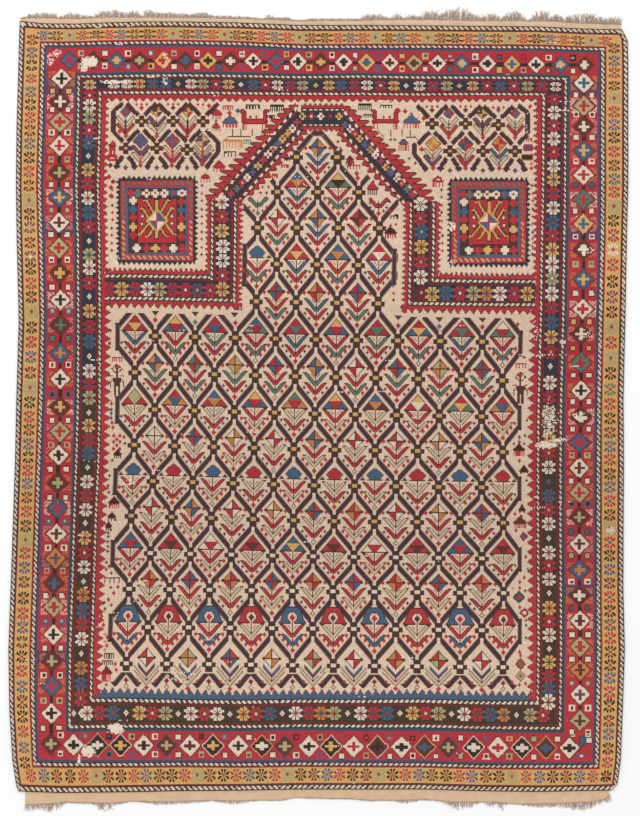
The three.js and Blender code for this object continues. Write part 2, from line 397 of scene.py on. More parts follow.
def lay_stripes():
    """The plain grounds of all stripes, then the cords on theirs."""
    for number, stripe in enumerate(STRIPES):
        left, top, right, bottom = stripe_box(number)
        chart[top:bottom, left:right] = CODE[stripe[4]]
    for number, stripe in enumerate(STRIPES):
        if stripe[0].endswith("cord"):
            lay_cord(number)


def lay_cord(number):
    """Light slanting dashes between the two dark edges of a cord."""
    depths = [deep - 2 for deep in STRIPES[number][1:4]]
    for name, deep, line, run in side_lines(stripe_box(number, 1), *depths):
        lean = {"top": -1, "left": -1.2, "right": 1.2, "bottom": np.where(run > FOOT_TURN, -1, 1)}
        chart[line][light_dashes(run + lean[name] * deep * DASH_SLANT)] = CODE["W"]


def tooth_height(run, step):
    return 1.0 - np.abs(2.0 * ((run / step) % 1.0) - 1.0)


def lay_saw_teeth():
    """Pointed teeth from the innermost stripe into the field, finer above the niche's shelf."""
    left, top, right, bottom = stripe_box(SAW_TEETH)
    chart[top:bottom, left:right] = CODE["I"]
    for name, deep, line, run in side_lines(stripe_box(SAW_TEETH), *[TEETH_DEEP] * 3):
        low, rise, step = TEETH[name]
        height = low + rise * tooth_height(run, step)
        if name in FINE_TEETH:
            low, rise, step = FINE_TEETH[name]
            height = np.where(run < SHELF_HEIGHT, low + rise * tooth_height(run, step), height)
        wool, edge = "Br" if name == "bottom" else "Ro"
        chart[line][deep < height + 1] = CODE[edge]
        chart[line][deep < height] = CODE[wool]


# Flower heads of the gold and the dark band, knot by knot.

ROSETTE = mirrored("...PP. PP.PP. PPP.P. .PPP.. ....CC ....CC .PPP.. PPP.P. PP.PP. ...PP.")
LONG_ROSETTE = mirrored("""
    ...PP. ...PP. PP..P. PPP.P. .PPP.C ....CC .PPP.C PPP.P. PP..P. ...PP. ...PP.
""")
SPRIG = mirrored("...PPP. PP..PP. PPPP.P. ...PP.C ....LCC ...PP.C PPPP.P. PP..PP. ...PPP.")
WIDE_ROSETTE = mirrored("..PPP. PP.PP. PPP.P. ..PP.C ....CC ..PP.C PPP.P. PP.PP. ..PPP.")
TALL_ROSETTE = mirrored("""
    ...PPP. ...PPP. PPP.PP. PPPP.P. ..PPP.C .....CC ..PPP.C PPPP.P. PPP.PP. ...PPP. ...PPP.
""")
STAR = mirrored("..C .CC CC. .CC ..C")
FADED = mirrored(".C CC CC .C")

# Flower heads along each side: their shape, the place across the band that they are read at,
# knots from the band's outer edge, petals and heart of each in turn, and the places of some by
# number. The letter g is a head whose petals have faded into the ground.
GOLD_RUNS = {
    "left": (ROSETTE, 31, 7, """
        rR PB DK RB BR DO RB NO BR DR RG NO gR DR PY NR PW Dr RG DR gR DR RP BR NO gR DB RB NR BR
        DY RB BR NR RB DR gR RB BR NR DR RB BR NK DR RB BR NR DR RB BR DR
    """, """
        0 39.5, 8 143.5, 12 200, 14 228, 16 257, 17 268.6, 20 312, 23 357, 25 388, 27 417, 32
        483.5, 35 526, 36 540, 38 567.5, 42 628, 45 671.6, 48 717, 51 763
    """),
    "right": (ROSETTE, 612, -8, """
        DR BR RB DR gR RB BR DR RB NR BR RB gR DR RB WR RB DR PR DR gR RB gR DR GR RB DR NR BR RB
        DR BR RB DR gR RB DR BR NR RB DR PR RB NR DR BR RB DR NR BR DR RB DR
    """, """
        0 48, 4 98.5, 7 138, 12 206, 15 249.5, 17 281, 18 297, 20 327, 22 358, 24 389, 26 419, 33
        515, 34 528, 41 625, 45 678, 52 777
    """),
    "top": (SPRIG, 33, 6, """
        BR NK gR RB DR RB BR NK DR RB gR NR BR RG gR NR DR RB BR RG gR NR DR RB BR RG gR NR BR RG
        gR NR DR RB BR NK gR RB DR BR RB NK gR RB
    """, """
        0 43.4, 2 69.4, 10 173, 14 224, 20 299, 26 375, 30 427, 36 509, 42 590, 43 603
    """),
    "bottom": (LONG_ROSETTE, 775, -8, """
        RB BR NR DR RB gR NR DR RB BR NR DR RB gR NR DR RB BR DR RB gR DR NR BR RB DR NR gR DR RB
        BR NR DR RB BR NR DR gR RB BR DR NR BR RB DR
    """, """
        0 30.6, 5 95.5, 13 197, 20 287, 27 378.6, 37 511.7, 44 606
    """),
}
DARK_RUNS = {
    "left": (TALL_ROSETTE, 88, 7, """
        YB RW Wr KB RW BO gW YB RG WR BP RK gW KB WR RK gW YR RG BP gW WR RB KR gW YR RB BP gW WR
        RB WR gW YR RW WD gW OB BR RB WR gW OB BR RK gW
    """, """
        0 84.7, 2 104.5, 4 129.6, 6 155, 7 169.5, 10 212, 14 268, 16 295.5, 20 356, 24 411.6, 28
        466.5, 32 523, 36 580.5, 41 653, 45 712
    """),
    "right": (TALL_ROSETTE, 553, -8, """
        RK WR RW WR RY WO YB RB WR BR RO YR WR KW WR RG BR YR RY gW WR RO KR gW YR RY WB gB BR RY
        WR gW WR RW WR gW YR RW WR gW YB RB BR WR
    """, """
        0 99, 3 138, 11 249, 14 293, 19 366, 22 413, 24 438, 25 453, 31 538, 35 593, 40 662, 43
        702
    """),
    "top": (WIDE_ROSETTE, 84, 5, """
        WR WR YR BR BW gY WR KR RW YR gW BR RW WR RB KR gY YR BR RB WR RW YR gW WR RG KR gY YR RW
        BR RW KR RB WR
    """, """
        0 113, 1 127, 2 139, 5 178, 10 240, 16 315, 23 406, 27 459, 34 555
    """),
    "bottom": (TALL_ROSETTE, 716, -8, """
        gW WR RB BR gW YR RW KR gW WR RW WR gW YR RW BR gW WR RB OB KR gW WR RB BR gW YR RW KR gW
        WR RB BR OB gW KR RW
    """, """
        0 73.4, 36 542.5
    """),
}


def lay_run(shape, words, known, ghost, knot_of):
    """A row of flower heads; knot_of gives the knot for one place along the side."""
    known = table(known)
    for number, (petals, heart) in enumerate(words.split()):
        col, row = knot_of(float(along(known, 0, number)))
        if petals != "g":
            stamp(shape, col, row, {"P": petals, "C": heart, "L": "K"})
            continue
        col, row = int(round(col)), int(round(row))
        if ghost == "k":
            paint((slice(row - 5, row + 6), slice(col - 5, col + 7)), True, "k")
        stamp(STAR if ghost == "V" else FADED, col, row, {"C": heart})


def lay_band_flowers(band, runs, ghost):
    """Flower heads all round one band."""
    edges = dict(zip(("left", "top", "right", "bottom"), stripe_box(band)))
    for name, (shape, place, deep, words, known) in runs.items():
        if name in ("left", "right"):
            lay_run(shape, words, known, ghost,
                    lambda y: (edges[name] + deep, knot_at(place, y)[1]))
        else:
            lay_run(shape, words, known, ghost,
                    lambda x: (knot_at(x, place)[0], edges[name] + deep))


def lay_rosettes():
    """The gold band and the dark inner band, which turns brown in its lower half."""
    lay_band_flowers(GOLD_BAND, GOLD_RUNS, "k")
    left, _, right, bottom = stripe_box(ROSETTE_BAND)
    middle, deep = int(knot_at(90, 405)[1]), STRIPES[ROSETTE_BAND][1]
    chart[middle:bottom, left:left + deep] = CODE["L"]
    chart[middle:bottom, right - deep:right] = CODE["L"]
    chart[bottom - deep:bottom, left:right] = CODE["L"]
    lay_band_flowers(ROSETTE_BAND, DARK_RUNS, "V")


# Main band. Each diamond: place along the band, then ground, cross and now and then outline.
LEFT_DIAMONDS = table("""
    78.5 WD, 101.5 NW, 122 KR, 145.5 WR, 172.5 NK, 197 BY, 222.5 WN, 248 KR, 273 NY, 300 WD,
    325 NG, 353 BO, 379 WD, 407 NY, 431.5 KR, 455 WD, 483 NK, 508 BR, 534 WN, 558.5 OP, 583.5 NB,
    607 KR, 634.5 WD, 661 NK, 686 BR, 713.5 WD, 744 NK
""")
RIGHT_DIAMONDS = table("""
    83 WB, 106 KR, 126.5 NW, 150.5 BY, 175 WR, 199.5 GR, 224 YB, 250 NW, 279.5 BY, 309 WR, 334 NW,
    362.5 GR, 390.5 WD, 417 NW, 442.5 BR, 468 WN, 492.5 KR, 517 NK, 544 WN, 570 BO, 595.5 NW,
    620.5 WN, 646.5 KR, 670 ON, 694.5 WP, 720.5 KN
""")
TOP_DIAMONDS = table("""
    69 BR, 93 NW, 116.6 BY, 139.5 NK, 163 YR, 185.5 NB, 208 YD, 230.5 NW, 253 WD, 276 BR, 298 WD,
    320.5 NY, 343.7 WD, 366.6 YB, 390 WN, 414 KN, 437.5 WD, 462 BY, 487.5 WD, 511.8 YB, 536 WD,
    560.6 BY, 584.7 NW
""")
BOTTOM_DIAMONDS = table("""
    73.5 WDo, 97.5 DWK, 120.5 DYW, 143.5 WDo, 166.6 NKP, 190 WNo, 213 DYW, 238 WDo, 262 DWY,
    284.6 NKP, 309 WDo, 331 DYW, 353.6 WRo, 377.7 NDI, 401.5 WDo, 424.6 NBY, 448.5 NKP, 473.7 DWW,
    498 WRo, 522 DWW, 546 NBY, 570 WDo
""")
# How the middle of the band wanders: place along it, place across.
LEFT_DIAMOND_X = table("""
    78 61.5, 101 60, 145 59.5, 248 59, 300 60.5, 431 60, 455 58.5, 534 56.5, 558 55.5, 583 54,
    635 53.5, 661 52, 744 51
""")
RIGHT_DIAMOND_X = table("""
    78 584, 150 584, 175 583.5, 300 583.5, 330 581, 420 581, 440 579.5, 600 579.5, 620 580,
    720 580
""")
# Small squares: place along the band, then frame and heart of the pair, one word for each.
LEFT_SQUARES = table("""
    91 Y, 110 W, 132.5 WD, 159 KB, 185 W, 210 BY, 235 W, 260 WD, 287 W, 311 BY, 338.5 G, 365 WD,
    394 BD, 420 W, 444.5 KR, 469 W, 497 W, 521.5 BY, 547.5 WD, 571 KR, 596 W, 621.5 BY, 648 W,
    675 WD, 701 KN, 728 W
""")
RIGHT_SQUARES = table("""
    95 W, 114.5 WN, 137 W, 161 WR, 185.5 B, 211 W, 237 WN, 264 KG, 293 W, 321.5 Y, 348.5 Y, 375 W,
    402 W, 429 W, 455 KR, 481 W, 504 BD, 531.5 B, 556 K, 582 WD, 608 B, 634.5 W, 659.5 W, 683 BY,
    708 WD, 734 WD
""")
TOP_SQUARES = table("""
    81 YB KN, 104.8 W WD, 128 WD BY, 151 BW YD, 174 KN W, 197 WD WK, 219 W B, 242 WB PR,
    265 BR YD, 286.5 YB W, 309 KN YN, 332 WD WB, 355 W K, 378 PR BR, 402 Y YD, 425.5 YB W,
    450 PY B, 475 WB WD, 499.5 DB Y, 523.5 rR KN, 548.5 WN NK, 573 DK W
""")
BOTTOM_SQUARES = table("""
    85 BO W, 109 DB BD, 132 KN BR, 155 WR WN, 178 W W, 201.5 DN KN, 225 BO W, 249 W KN, 273 WD W,
    296.5 DR WN, 320 KD BR, 341.5 BR W, 366 DR KN, 389.5 BO W, 413 DR WD, 436 WD W, 461 W K,
    486 BR WN, 509.5 YR KN, 534 K W, 557.5 W WN
""")
# Short stretches of the main band knotted on violet: left, top, right, bottom places.
VIOLET_GROUND = table("""
    47 82 74 92, 571 84 598 92, 41 560 69 566, 566 588 594 592, 49 226 72 230, 41 655 67 660,
    572 232 597 236
""")
HATCH_END = 690       # the corners of the diamonds below it are plain
HATCH_CHANGE = 640    # and below this one all the hatching is orange


def crossed_diamond(x, y, size, wools, reach, thick):
    """A diamond with an upright cross: half sizes, wools, length and thickness of the arms."""
    diamond(x, y, *size, wools[0], wools[2:] or "o")
    box(x, y, reach[0] / 2, thick[1] / 2, wools[1])
    box(x, y, thick[0] / 2, reach[1] / 2, wools[1])


def small_square(x, y, wools):
    if len(wools) > 1:
        box(x, y, 2.9, 2.9, wools[0])
        box(x, y, 1.5, 1.5, wools[1])
    else:
        box(x, y, 2.3, 2.3, wools, "o")


# Middle lines of the band's upper and lower rows: places across, then places down.
TOP_WANDER = ((69, 253, 585), (60, 61, 65))
BOTTOM_WANDER = ((73, 570), (745, 748))
TOP_STEM = ((69, 60), (585, 65))
LAST_DIAMOND, LAST_BLOCK = (569.5, 748), (582.5, 741)
FOOT_SQUARES = table(
    "60.5 735 WD, 60.5 754 WD, 589 740 W, 581 756 BW, 571.5 732 W, 588 732 WD")


def lay_main_band():
    """Crossed diamonds with small squares between them, all round the main band."""
    for region in VIOLET_GROUND:
        area = window(*region)
        paint(area, chart[area] == CODE["R"], "Z")
    for diamonds, middle, squares in ((LEFT_DIAMONDS, LEFT_DIAMOND_X, LEFT_SQUARES),
                                      (RIGHT_DIAMONDS, RIGHT_DIAMOND_X, RIGHT_SQUARES)):
        centres = [(float(along(middle, 0, y)), y) for y, _ in diamonds]
        for start, end in zip(centres, centres[1:]):
            bar(start, end, 3.6, "D")
        hatch(centres)
        for (x, y), (_, wools) in zip(centres, diamonds):
            crossed_diamond(x, y, (10.0, 10.2), wools, (11, 11), (3.4, 2.6))
        for y, wools in squares:
            for side in (-8, 8):
                small_square(float(along(middle, 0, y)) + side, y, wools)
    bar(*TOP_STEM, 3.4, "D")
    ends = (
        (TOP_DIAMONDS, TOP_SQUARES, TOP_WANDER, (8.6, 8.6), (9, 8), (3.4, 3.0), (-7, 6)),
        (BOTTOM_DIAMONDS, BOTTOM_SQUARES, BOTTOM_WANDER,
         (10.4, 10.8), (12, 9), (3.6, 3.0), (-9, 9)),
    )
    for diamonds, squares, wander, size, reach, thick, away in ends:
        for x, wools in diamonds:
            crossed_diamond(x, float(np.interp(x, *wander)), size, wools, reach, thick)
        for x, *pair in squares:
            for down, wools in zip(away, pair):
                small_square(x, float(np.interp(x, *wander)) + down, wools)
    crossed_diamond(*LAST_DIAMOND, (10, 11), "WD", (12, 9), (3.4, 3))
    box(*LAST_BLOCK, 2.4, 4.6, "B", "o")
    for x, y, wools in FOOT_SQUARES:
        small_square(x, y, wools)


def hatch(centres):
    """Fine slanting lines of light and orange wool in the corners round each diamond."""
    for number, (x, y) in enumerate(centres):
        if y > HATCH_END:
            continue
        area, px, py = around(x, y, 14, 11)
        for side in (-1, 1):
            for end in (-1, 1):
                near = (px * side > 3) & (px * side < 13) & (py * end > 0.5) & (py * end < 7.5)
                near &= np.abs(px) + np.abs(py) > 12.3
                lines = ((px * side + py * end) / 2.8) % 1.0 < 0.5
                paint(area, near & lines, "OIpO"[number % 4] if y < HATCH_CHANGE else "O")


# The field's lattice.

NODE = mirrored("""
    ...oooo ...okkk ...okkk ...okkk ooooyyy okkoyyy okkoyyy ooooooo ...okkk ...okkk ...okkk
    ...oooo
""")
FAN_HEAD = mirrored("""
    ..............o .............oC ............oCC ...........oCCC ..........oCCCC
    .........oCCCCC ........oCCCCCC .......oMMMMMMM ......oSoMMMMMM .....oSSSoMMMMM
    ....oSSSSSoMMMM ...oSSSSSSSoMMM ..oSSSSSSSSSoMM .oooooooooooooM
""")
CAP_HEAD = mirrored("""
    ..............o ............ooC ...........oCCC .........ooCCCC ........oCCCCCC
    .......oCCCCCCC ......oCCCCCCCC .......oCCCCCCC ..k.....oCCCCCC .kkk.....oCCCCC
    kkkkk..oooooooo
""")
ARCH_HEAD = mirrored("""
    .........oooooo ........oCCCCCC .......oCCCCCCC ......oCCCCCCCC ......oCCCCCCoo
    .....oCCCCCo... .....oCCCCo...d ....oCCCCo...dd ....oCCCCo..ddd ...oCCCCCo..ddd
    ...oCCCCCCo..dd ..oCCCCCCCCo..d .oCCCCCCCCCCo.s .oooooooooooo.s
""")
ROOF = mirrored("oooo .oor ..oo ...o")
OUTER_REACH = {-1: 15, 1: 16}     # columns that the outermost bars reach before they turn upright
NICHE_REACH = {-1: 12, 1: 15}     # the same beside the niche's shoulders
BAR_REACH = 18                    # columns that a bar between two nodes reaches
FIRST_FULL_ROW = 4                # the first row of nodes that runs from side to side
PALE_NODES = 11                   # from this row of nodes on their middles are white


SHELF_EDGE, SHELF_SLOPE = (110, 312.5), 0.0145      # lower edge of the niche's shelves
NECK_SIDES, NECK_TOP = (243.5, 400), 200            # upright sides above the shelves
NICHE_MIDDLE, NICHE_PEAK = (322, 129), 133


def inside_niche(x, y):
    """Whether a place lies in the part of the field that the lattice covers."""
    if y > SHELF_EDGE[1] + (x - SHELF_EDGE[0]) * SHELF_SLOPE:
        return True
    if not NECK_SIDES[0] < x < NECK_SIDES[1]:
        return False
    if y > NECK_TOP:
        return True
    return y > max(NICHE_MIDDLE[1] + abs(x - NICHE_MIDDLE[0]), NICHE_PEAK)


def lattice_bar(col, row, lean, reach, down=1):
    """One slanting bar from a node to the next, 20 columns away and 30 rows down or up."""
    for dr in range(ROW_STEP + 1):
        for dc in range(2, reach + 1):
            off = abs((dr - 15) - (dc - 10))
            r, c = int(row + down * dr), int(col + lean * dc)
            if off <= 3 and 0 <= r < ROWS and inside_niche(KNOT_X[r, c], KNOT_Y[r, c]):
                chart[r, c] = CODE["n" if off == 3 else "A"]


def upright_bar(col, row, half_tall):
    """The upright part at the lattice's side, where the slanting bars meet the edge."""
    col = int(round(col))
    if row < TOP + FIELD_TALL:
        chart[row - half_tall:row + half_tall + 1, col - 2:col + 3] = CODE["A"]
        chart[row - half_tall + 2:row + half_tall - 1, [col - 2, col + 2]] = CODE["n"]


def lattice_nodes():
    """Column and row of every node, with the numbers of both."""
    for k in range(-1, ROW_COUNT):
        for i in range(LATTICE_ACROSS):
            i = i + k % 2 * 0.5
            if i <= LATTICE_ACROSS - 1:
                yield i, k, node_column(i), node_row(k)


def lay_lattice():
    """Slanting bars between the nodes, upright ones at the edges, then the nodes themselves."""
    for i, k, col, row in lattice_nodes():
        for lean in (-1, 1):
            if k < ROW_COUNT - 1 and 0 <= i + lean * 0.5 <= LATTICE_ACROSS - 1:
                lattice_bar(col, row, lean, BAR_REACH)
    for k in range(FIRST_FULL_ROW, ROW_COUNT, 2):
        for i, lean in ((0, -1), (LATTICE_ACROSS - 1, 1)):
            col, reach = node_column(i), OUTER_REACH[lean]
            if k > FIRST_FULL_ROW:
                lattice_bar(col, node_row(k), lean, reach, -1)
            if k < ROW_COUNT - 1:
                lattice_bar(col, node_row(k), lean, reach)
            upright_bar(col + lean * (reach + 2), node_row(k + 1), 26 - reach)
    for i, lean in ((3, -1), (6, 1)):
        col, reach = node_column(i), NICHE_REACH[lean]
        if lean > 0:
            lattice_bar(col, node_row(2), lean, reach - 5, -1)
        lattice_bar(col, node_row(2), lean, reach)
        lattice_bar(col, node_row(4), lean, reach, -1)
        upright_bar(col + lean * reach, node_row(3), 29 - reach)
    for i in range(LATTICE_ACROSS):
        low_ends(node_column(i), node_row(ROW_COUNT - 1))
    for _, k, col, row in lattice_nodes():
        x, y = KNOT_X[row, int(col)], KNOT_Y[row, int(col)]
        shown = inside_niche(x, y - 6) and inside_niche(x - 4, y) and inside_niche(x + 4, y)
        if k >= 0 and shown:
            stamp(NODE, int(col), row, {"k": "A", "y": "W" if k >= PALE_NODES else "y"})


HALF_PLANT = """
    bar* 9 -8 .8 0 2.4 {leaf} o, dot* 8.5 1 {seed}, dot* 4.8 4.5 {seed}, bar 0 -6 0 4 1.2 o,
    spot 0 6.5 {leaf}"""


def lay_niche_top():
    """The arch over the topmost plant, and the half plants beside the niche's shoulders."""
    for x in (296.5, 337):
        stamp_at(NODE, x, 158, {"k": "A", "y": "y"})
    for start, end in (((298, 150), (312, 134.5)), ((323, 134.5), (336, 149)),
                       ((312, 133.5), (323, 133.5))):
        bar(start, end, 3.4, "A", "n")
    draw(HALF_PLANT.format(leaf="G", seed="R"), 258, 206)
    draw(HALF_PLANT.format(leaf="R", seed="o"), 378.5, 207)


def twin(row, col, away, wool):
    """One knot on each side of a middle column."""
    chart[row, [col - away, col + away]] = CODE[wool]


def low_ends(col, row):
    """Below the last row of nodes the bars end in hooked points."""
    for side in (-1, 1):
        for dr in range(7, 17):
            for off in range(-3, 4):
                wool = "n" if abs(off) == 3 else "A"
                chart[row + dr, col + side * (dr - 5) + off] = CODE[wool]
        for step, half in enumerate((4, 3, 2, 1)):
            c = col + side * 11
            chart[row + 15 + step, c - half:c + half + 1] = CODE["A"]
    stamp(SOLID_DIAMOND, col, row + 13, {"s": "r"})
    stamp(HOLLOW_DIAMOND, col, row + 18, {"s": "o"})


# Plants of the lattice.

def plant(col, row, kind, wools, leaves):
    """One branching plant: a head, two pairs of leaves, dots and a foot."""
    upper, lower, seed, foot = leaves
    col, row = int(round(col)), int(round(row))
    chart[row - 5:row + 16, col] = CODE["o"]
    for first, shift, wool in ((-4, 12, upper), (4, 11, lower)):
        for step in range(11 if wool == upper and first < 0 else 10):
            for deep in range(5 if step else 4):
                if shift - step >= deep:
                    letter = "o" if deep in (0, 4) or step == 0 else wool
                    twin(row + first + step, col, shift - step - deep, letter)
    spots = ((8, 11), (12, 7), (-8, 12)) if kind == "quarter" else ((5, 13), (9, 9), (13, 5))
    for down, away in spots:
        wool = "R" if down < 0 else seed
        for side in (-away, away):
            stamp(PLUS if wool == "o" else TALL_PLUS, col + side, row + down, {"s": wool})
    stamp(SOLID_DIAMOND if foot == "R" else HOLLOW_DIAMOND, col, row + 17, {"s": foot})
    for down, away in ((-3, 4), (-2, 3), (-1, 2)):
        twin(row + down, col, away, seed)
    if kind == "quarter":
        quartered(col, row - 9, wools)
        return
    shape = {"fan": FAN_HEAD, "cap": CAP_HEAD, "arch": ARCH_HEAD}[kind]
    parts = {"C": wools[0], "k": "o", "s": "o", "d": "R" if wools[0] == "B" else "o"}
    if kind == "fan":
        parts = dict(zip("CMS", wools))
    stamp(shape, col, row - 11, parts)


def low_plant(col, row, wools, number):
    """A plant of the last row: head in a bracket, one broad pair of leaves, a red foot."""
    bracket = "BBBR" if number % 2 else "TTTR"
    for down, wool in enumerate(bracket, 7):
        for away in range(9):
            twin(row + down - away, col, away, wool)
    for away in range(13):
        for deep in range(5):
            twin(row + 13 - away + deep, col, away, "o" if deep in (0, 4) else "l")
    chart[row + 7:row + 14, col] = CODE["o"]
    quartered(col, row - 6, wools)
    stamp(SOLID_DIAMOND, col, row + 19, {"s": "R"})
    for side in (-9, 9):
        stamp(PLUS, col + side, row + 13, {"s": "R"})


def quartered(col, row, wools):
    """A diamond in four parts, two wools set crosswise."""
    for dr in range(-8, 9):
        for dc in range(-9, 10):
            away = abs(dr) + abs(dc) * 8 / 9
            letter = wools[0] if (dc < 0) == (dr < 0) else wools[1]
            if away <= 8.2:
                chart[row + dr, col + dc] = CODE["o" if away > 7.2 or 0 in (dc, dr) else letter]


# Rows of plants: lattice row, kind of head, then the wools of each head from left to right.
PLANTS = [
    (5, "fan", "RYR YRB RBR BRG RGR YRB RGR RYB RGR WRG"),
    (6, "quarter", "OB GR OK RB BO WR BR KO BR"),
    (7, "fan", "KKR RBO BOR YRB GRO YRB BON YWR RYG RBO"),
    (8, "quarter", "WI BR WO RW BO WR RW WO OB"),
    (9, "cap", "B R B R B R B R B R"),
    (10, "quarter", "WR BO WR WO BR RO WR OW BR"),
    (11, "fan", "BRB RNR WRW RNR BYB RNR WRW RNR BRB RNR"),
    (12, "quarter", "RO RB OR RB RO BR RO BR RO"),
    (13, "arch", "B R B R B R B R B R"),
    (14, "quarter", "RW OK BR OW RK RW OR RK RW"),
]
# Lattice row, kind of head, place in the row and wools.
NICHE_PLANTS = table("""
    4 quarter 3.5 RB, 4 quarter 4.5 OR, 4 quarter 5.5 RB, 3 cap 3 B, 3 fan 4 RYR, 3 fan 5 BOB,
    3 fan 6 RWR, 2 quarter 3.5 WR, 2 quarter 4.5 OB, 2 quarter 5.5 RN, 1 fan 4 BOR, 1 fan 5 YDG,
    0 quarter 4.5 BO
""")
# The small motif over each gap of the first full row, across and down.
NODE_TOPS = table("""
    155 319, 195 320, 235 321, 276 322, 316 323, 357 324, 398 324, 439 325, 482 326
""")
TURNED_ROWS = (8, 9, 11)      # the rows that begin with red leaves above


def leaf_wools(k, number):
    """Upper leaves, lower leaves, dots and foot of one plant; a foot of brown is hollow."""
    other = "l" if k >= 7 else "G"
    red_above = (number + (k in TURNED_ROWS)) % 2 == 1
    hollow = red_above if k in (5, 6, 9) else not red_above and k in (8, 10, 12)
    foot = "o" if hollow else "R"
    if red_above:
        return "R", other, "R", foot
    return ("B" if k < 5 or (k == 5 and number % 4 == 0) else other), "R", "o", foot


def lay_plants():
    """A plant in every cell of the lattice, the ones in the niche last."""
    for k, kind, row_wools in PLANTS:
        for number, wools in enumerate(row_wools.split()):
            col, leaves = node_column(number + (k + 1) % 2 * 0.5), leaf_wools(k, number)
            if kind == "arch":
                leaves = "RBRR" if wools == "B" else "lRRR"
            if k == ROW_COUNT - 1:
                low_plant(int(col), node_row(k), wools, number)
            else:
                plant(col, node_row(k), kind, wools, leaves)
    for number, (x, y) in enumerate(NODE_TOPS):
        stamp_at(ROOF, x, y - 5)
        spot(x, y + 1.5, "G" if number % 2 else "R")
    for k, kind, i, wools in NICHE_PLANTS:
        plant(node_column(i), node_row(k), kind, wools, leaf_wools(k, int(i)))


# Niche and corner boxes. Flowers of the niche's slanting and top band: x, y, petals and heart.
FLOWERS = table("""
    231 194 RB, 236.8 188.5 GR, 242.2 183 RY, 247.2 177.5 WR, 252.8 172 BR, 258 166 YR,
    263 160 RG, 268 154.5 WR, 273 149 OB, 278 144 BR, 282.5 139 YR, 287.5 133.5 OY,
    292.5 128.5 WR, 297 122.5 RB, 339 116.5 yR, 345 124.5 BR, 350 129 WR, 355 133.5 Ry,
    360 139 yR, 365 144.5 BR, 370 149.5 OB, 375.5 155 WR, 381 161 RB, 386 167 yR, 391 172.5 BR,
    396.5 178.5 WR, 402 183.5 Ry, 407.5 189 GR, 412.5 194.5 RB, 302.5 116.5 yD, 311.5 116.5 RW,
    321 116.5 WR, 330 116.5 rB
""")
# The straight parts of the niche's band from the outside in: name, and knots deep along the
# shelf and up the leg.
BAND_PARTS = [
    ("outer teeth", 5, 5), ("cord", 4, 4), ("r", 1, 2), ("V", 12, 14), ("r", 1, 2),
    ("cord", 4, 4), ("inner teeth", 6, 6),
]
TOP_PARTS = [("outer teeth", 4), ("cord", 3), ("V", 10), ("cord", 3), ("inner teeth", 4)]
# Flower heads of both legs, place and wools, and of both shelves.
LEGS = {
    222.5: "202 WR, 217 RY, 231 YB, 246 WR, 260.5 WD, 275.5 RW, 290 yR",
    421: "204 WK, 218 RK, 232 BK, 247 yR, 262 RK, 277 WR, 292 rK",
}
SHELVES = [
    ("RR yR RB WR KR RB RW PK RK", 109.5, 12.6, 289.3, 0.15),
    ("yB BP RW KR OB WR RK yR", 432.5, 13.6, 293.5, 0.1),
]
# Tips of the flame teeth on the left, outside and inside the slanting band.
LEFT_FLAMES_OUT = table("""
    205 196, 208 189.5, 213 183.5, 218 177.5, 222 171.5, 228 165.5, 233 159.5, 239 154, 244 148.5,
    249.5 143, 255 137, 260.5 131, 265.5 125.5, 271 120, 277 114.5, 283 109.5, 289 105.5
""")
LEFT_FLAMES_IN = table("""
    253 194, 259 188.5, 265 182.5, 270.5 176.5, 276.5 170, 282 163.5, 288 157, 293 150.5,
    298 144.5, 303 139.5, 307 134
""")
AXIS = 322.2              # the niche's middle line
FLAME_SLOPE = 0.87        # places across for each place up the band


def band_line(name, deep, level, run, cord_slant, tooth_step):
    """Wool letters along one line of knots of a straight band."""
    if name in CODE:
        return np.full(run.shape, CODE[name])
    if name == "cord":
        light = light_dashes(run - level * cord_slant) & (level < deep - 1)
        return np.where(light & (level > 0), CODE["W"], CODE["c"])
    height = deep - level if name == "outer teeth" else level + 1
    top = 1.5 + (deep - 1.5) * tooth_height(run, tooth_step)
    return np.where(height <= top, CODE["R"], np.where(height <= top + 1, CODE["o"], -1))


def lay_line(part, letters):
    """Sets a line of knots; where a letter is -1 the ground stays."""
    chart[part][letters >= 0] = letters[letters >= 0]


def corner_band(side, row, col, leg_top, border):
    """One shelf and the leg that rises from it, nested like a bracket."""
    for name, deep, wide in BAND_PARTS:
        span = slice(*sorted((border, col + wide * side)))
        for level in range(deep):
            part = (row + level, span)
            step = 5.1 if name == "outer teeth" else 7.7
            lay_line(part, band_line(name, deep, level, KNOT_X[part], -1.3, step))
        row += deep
        for level in range(wide):
            part = (slice(leg_top, row), col + side * level)
            lay_line(part, band_line(name, wide, level, KNOT_Y[part], 1.3 * side, 5.6))
        col += wide * side


def flame(x, y, foot, lift):
    """A flame tooth: a level edge on one side and a slanting one back to the band."""
    near = foot + (200 - y) * FLAME_SLOPE
    far = foot + (200 - (y + lift)) * FLAME_SLOPE
    return [(x, y), (near, y - math.copysign(0.8, lift)), (far, y + lift)]


SLANT_START, SLANT_END = (228.2, 200), (302.5, 114.5)
OUTER_FOOT, INNER_FOOT = 216.5, 241.5               # where both rows of flames would start


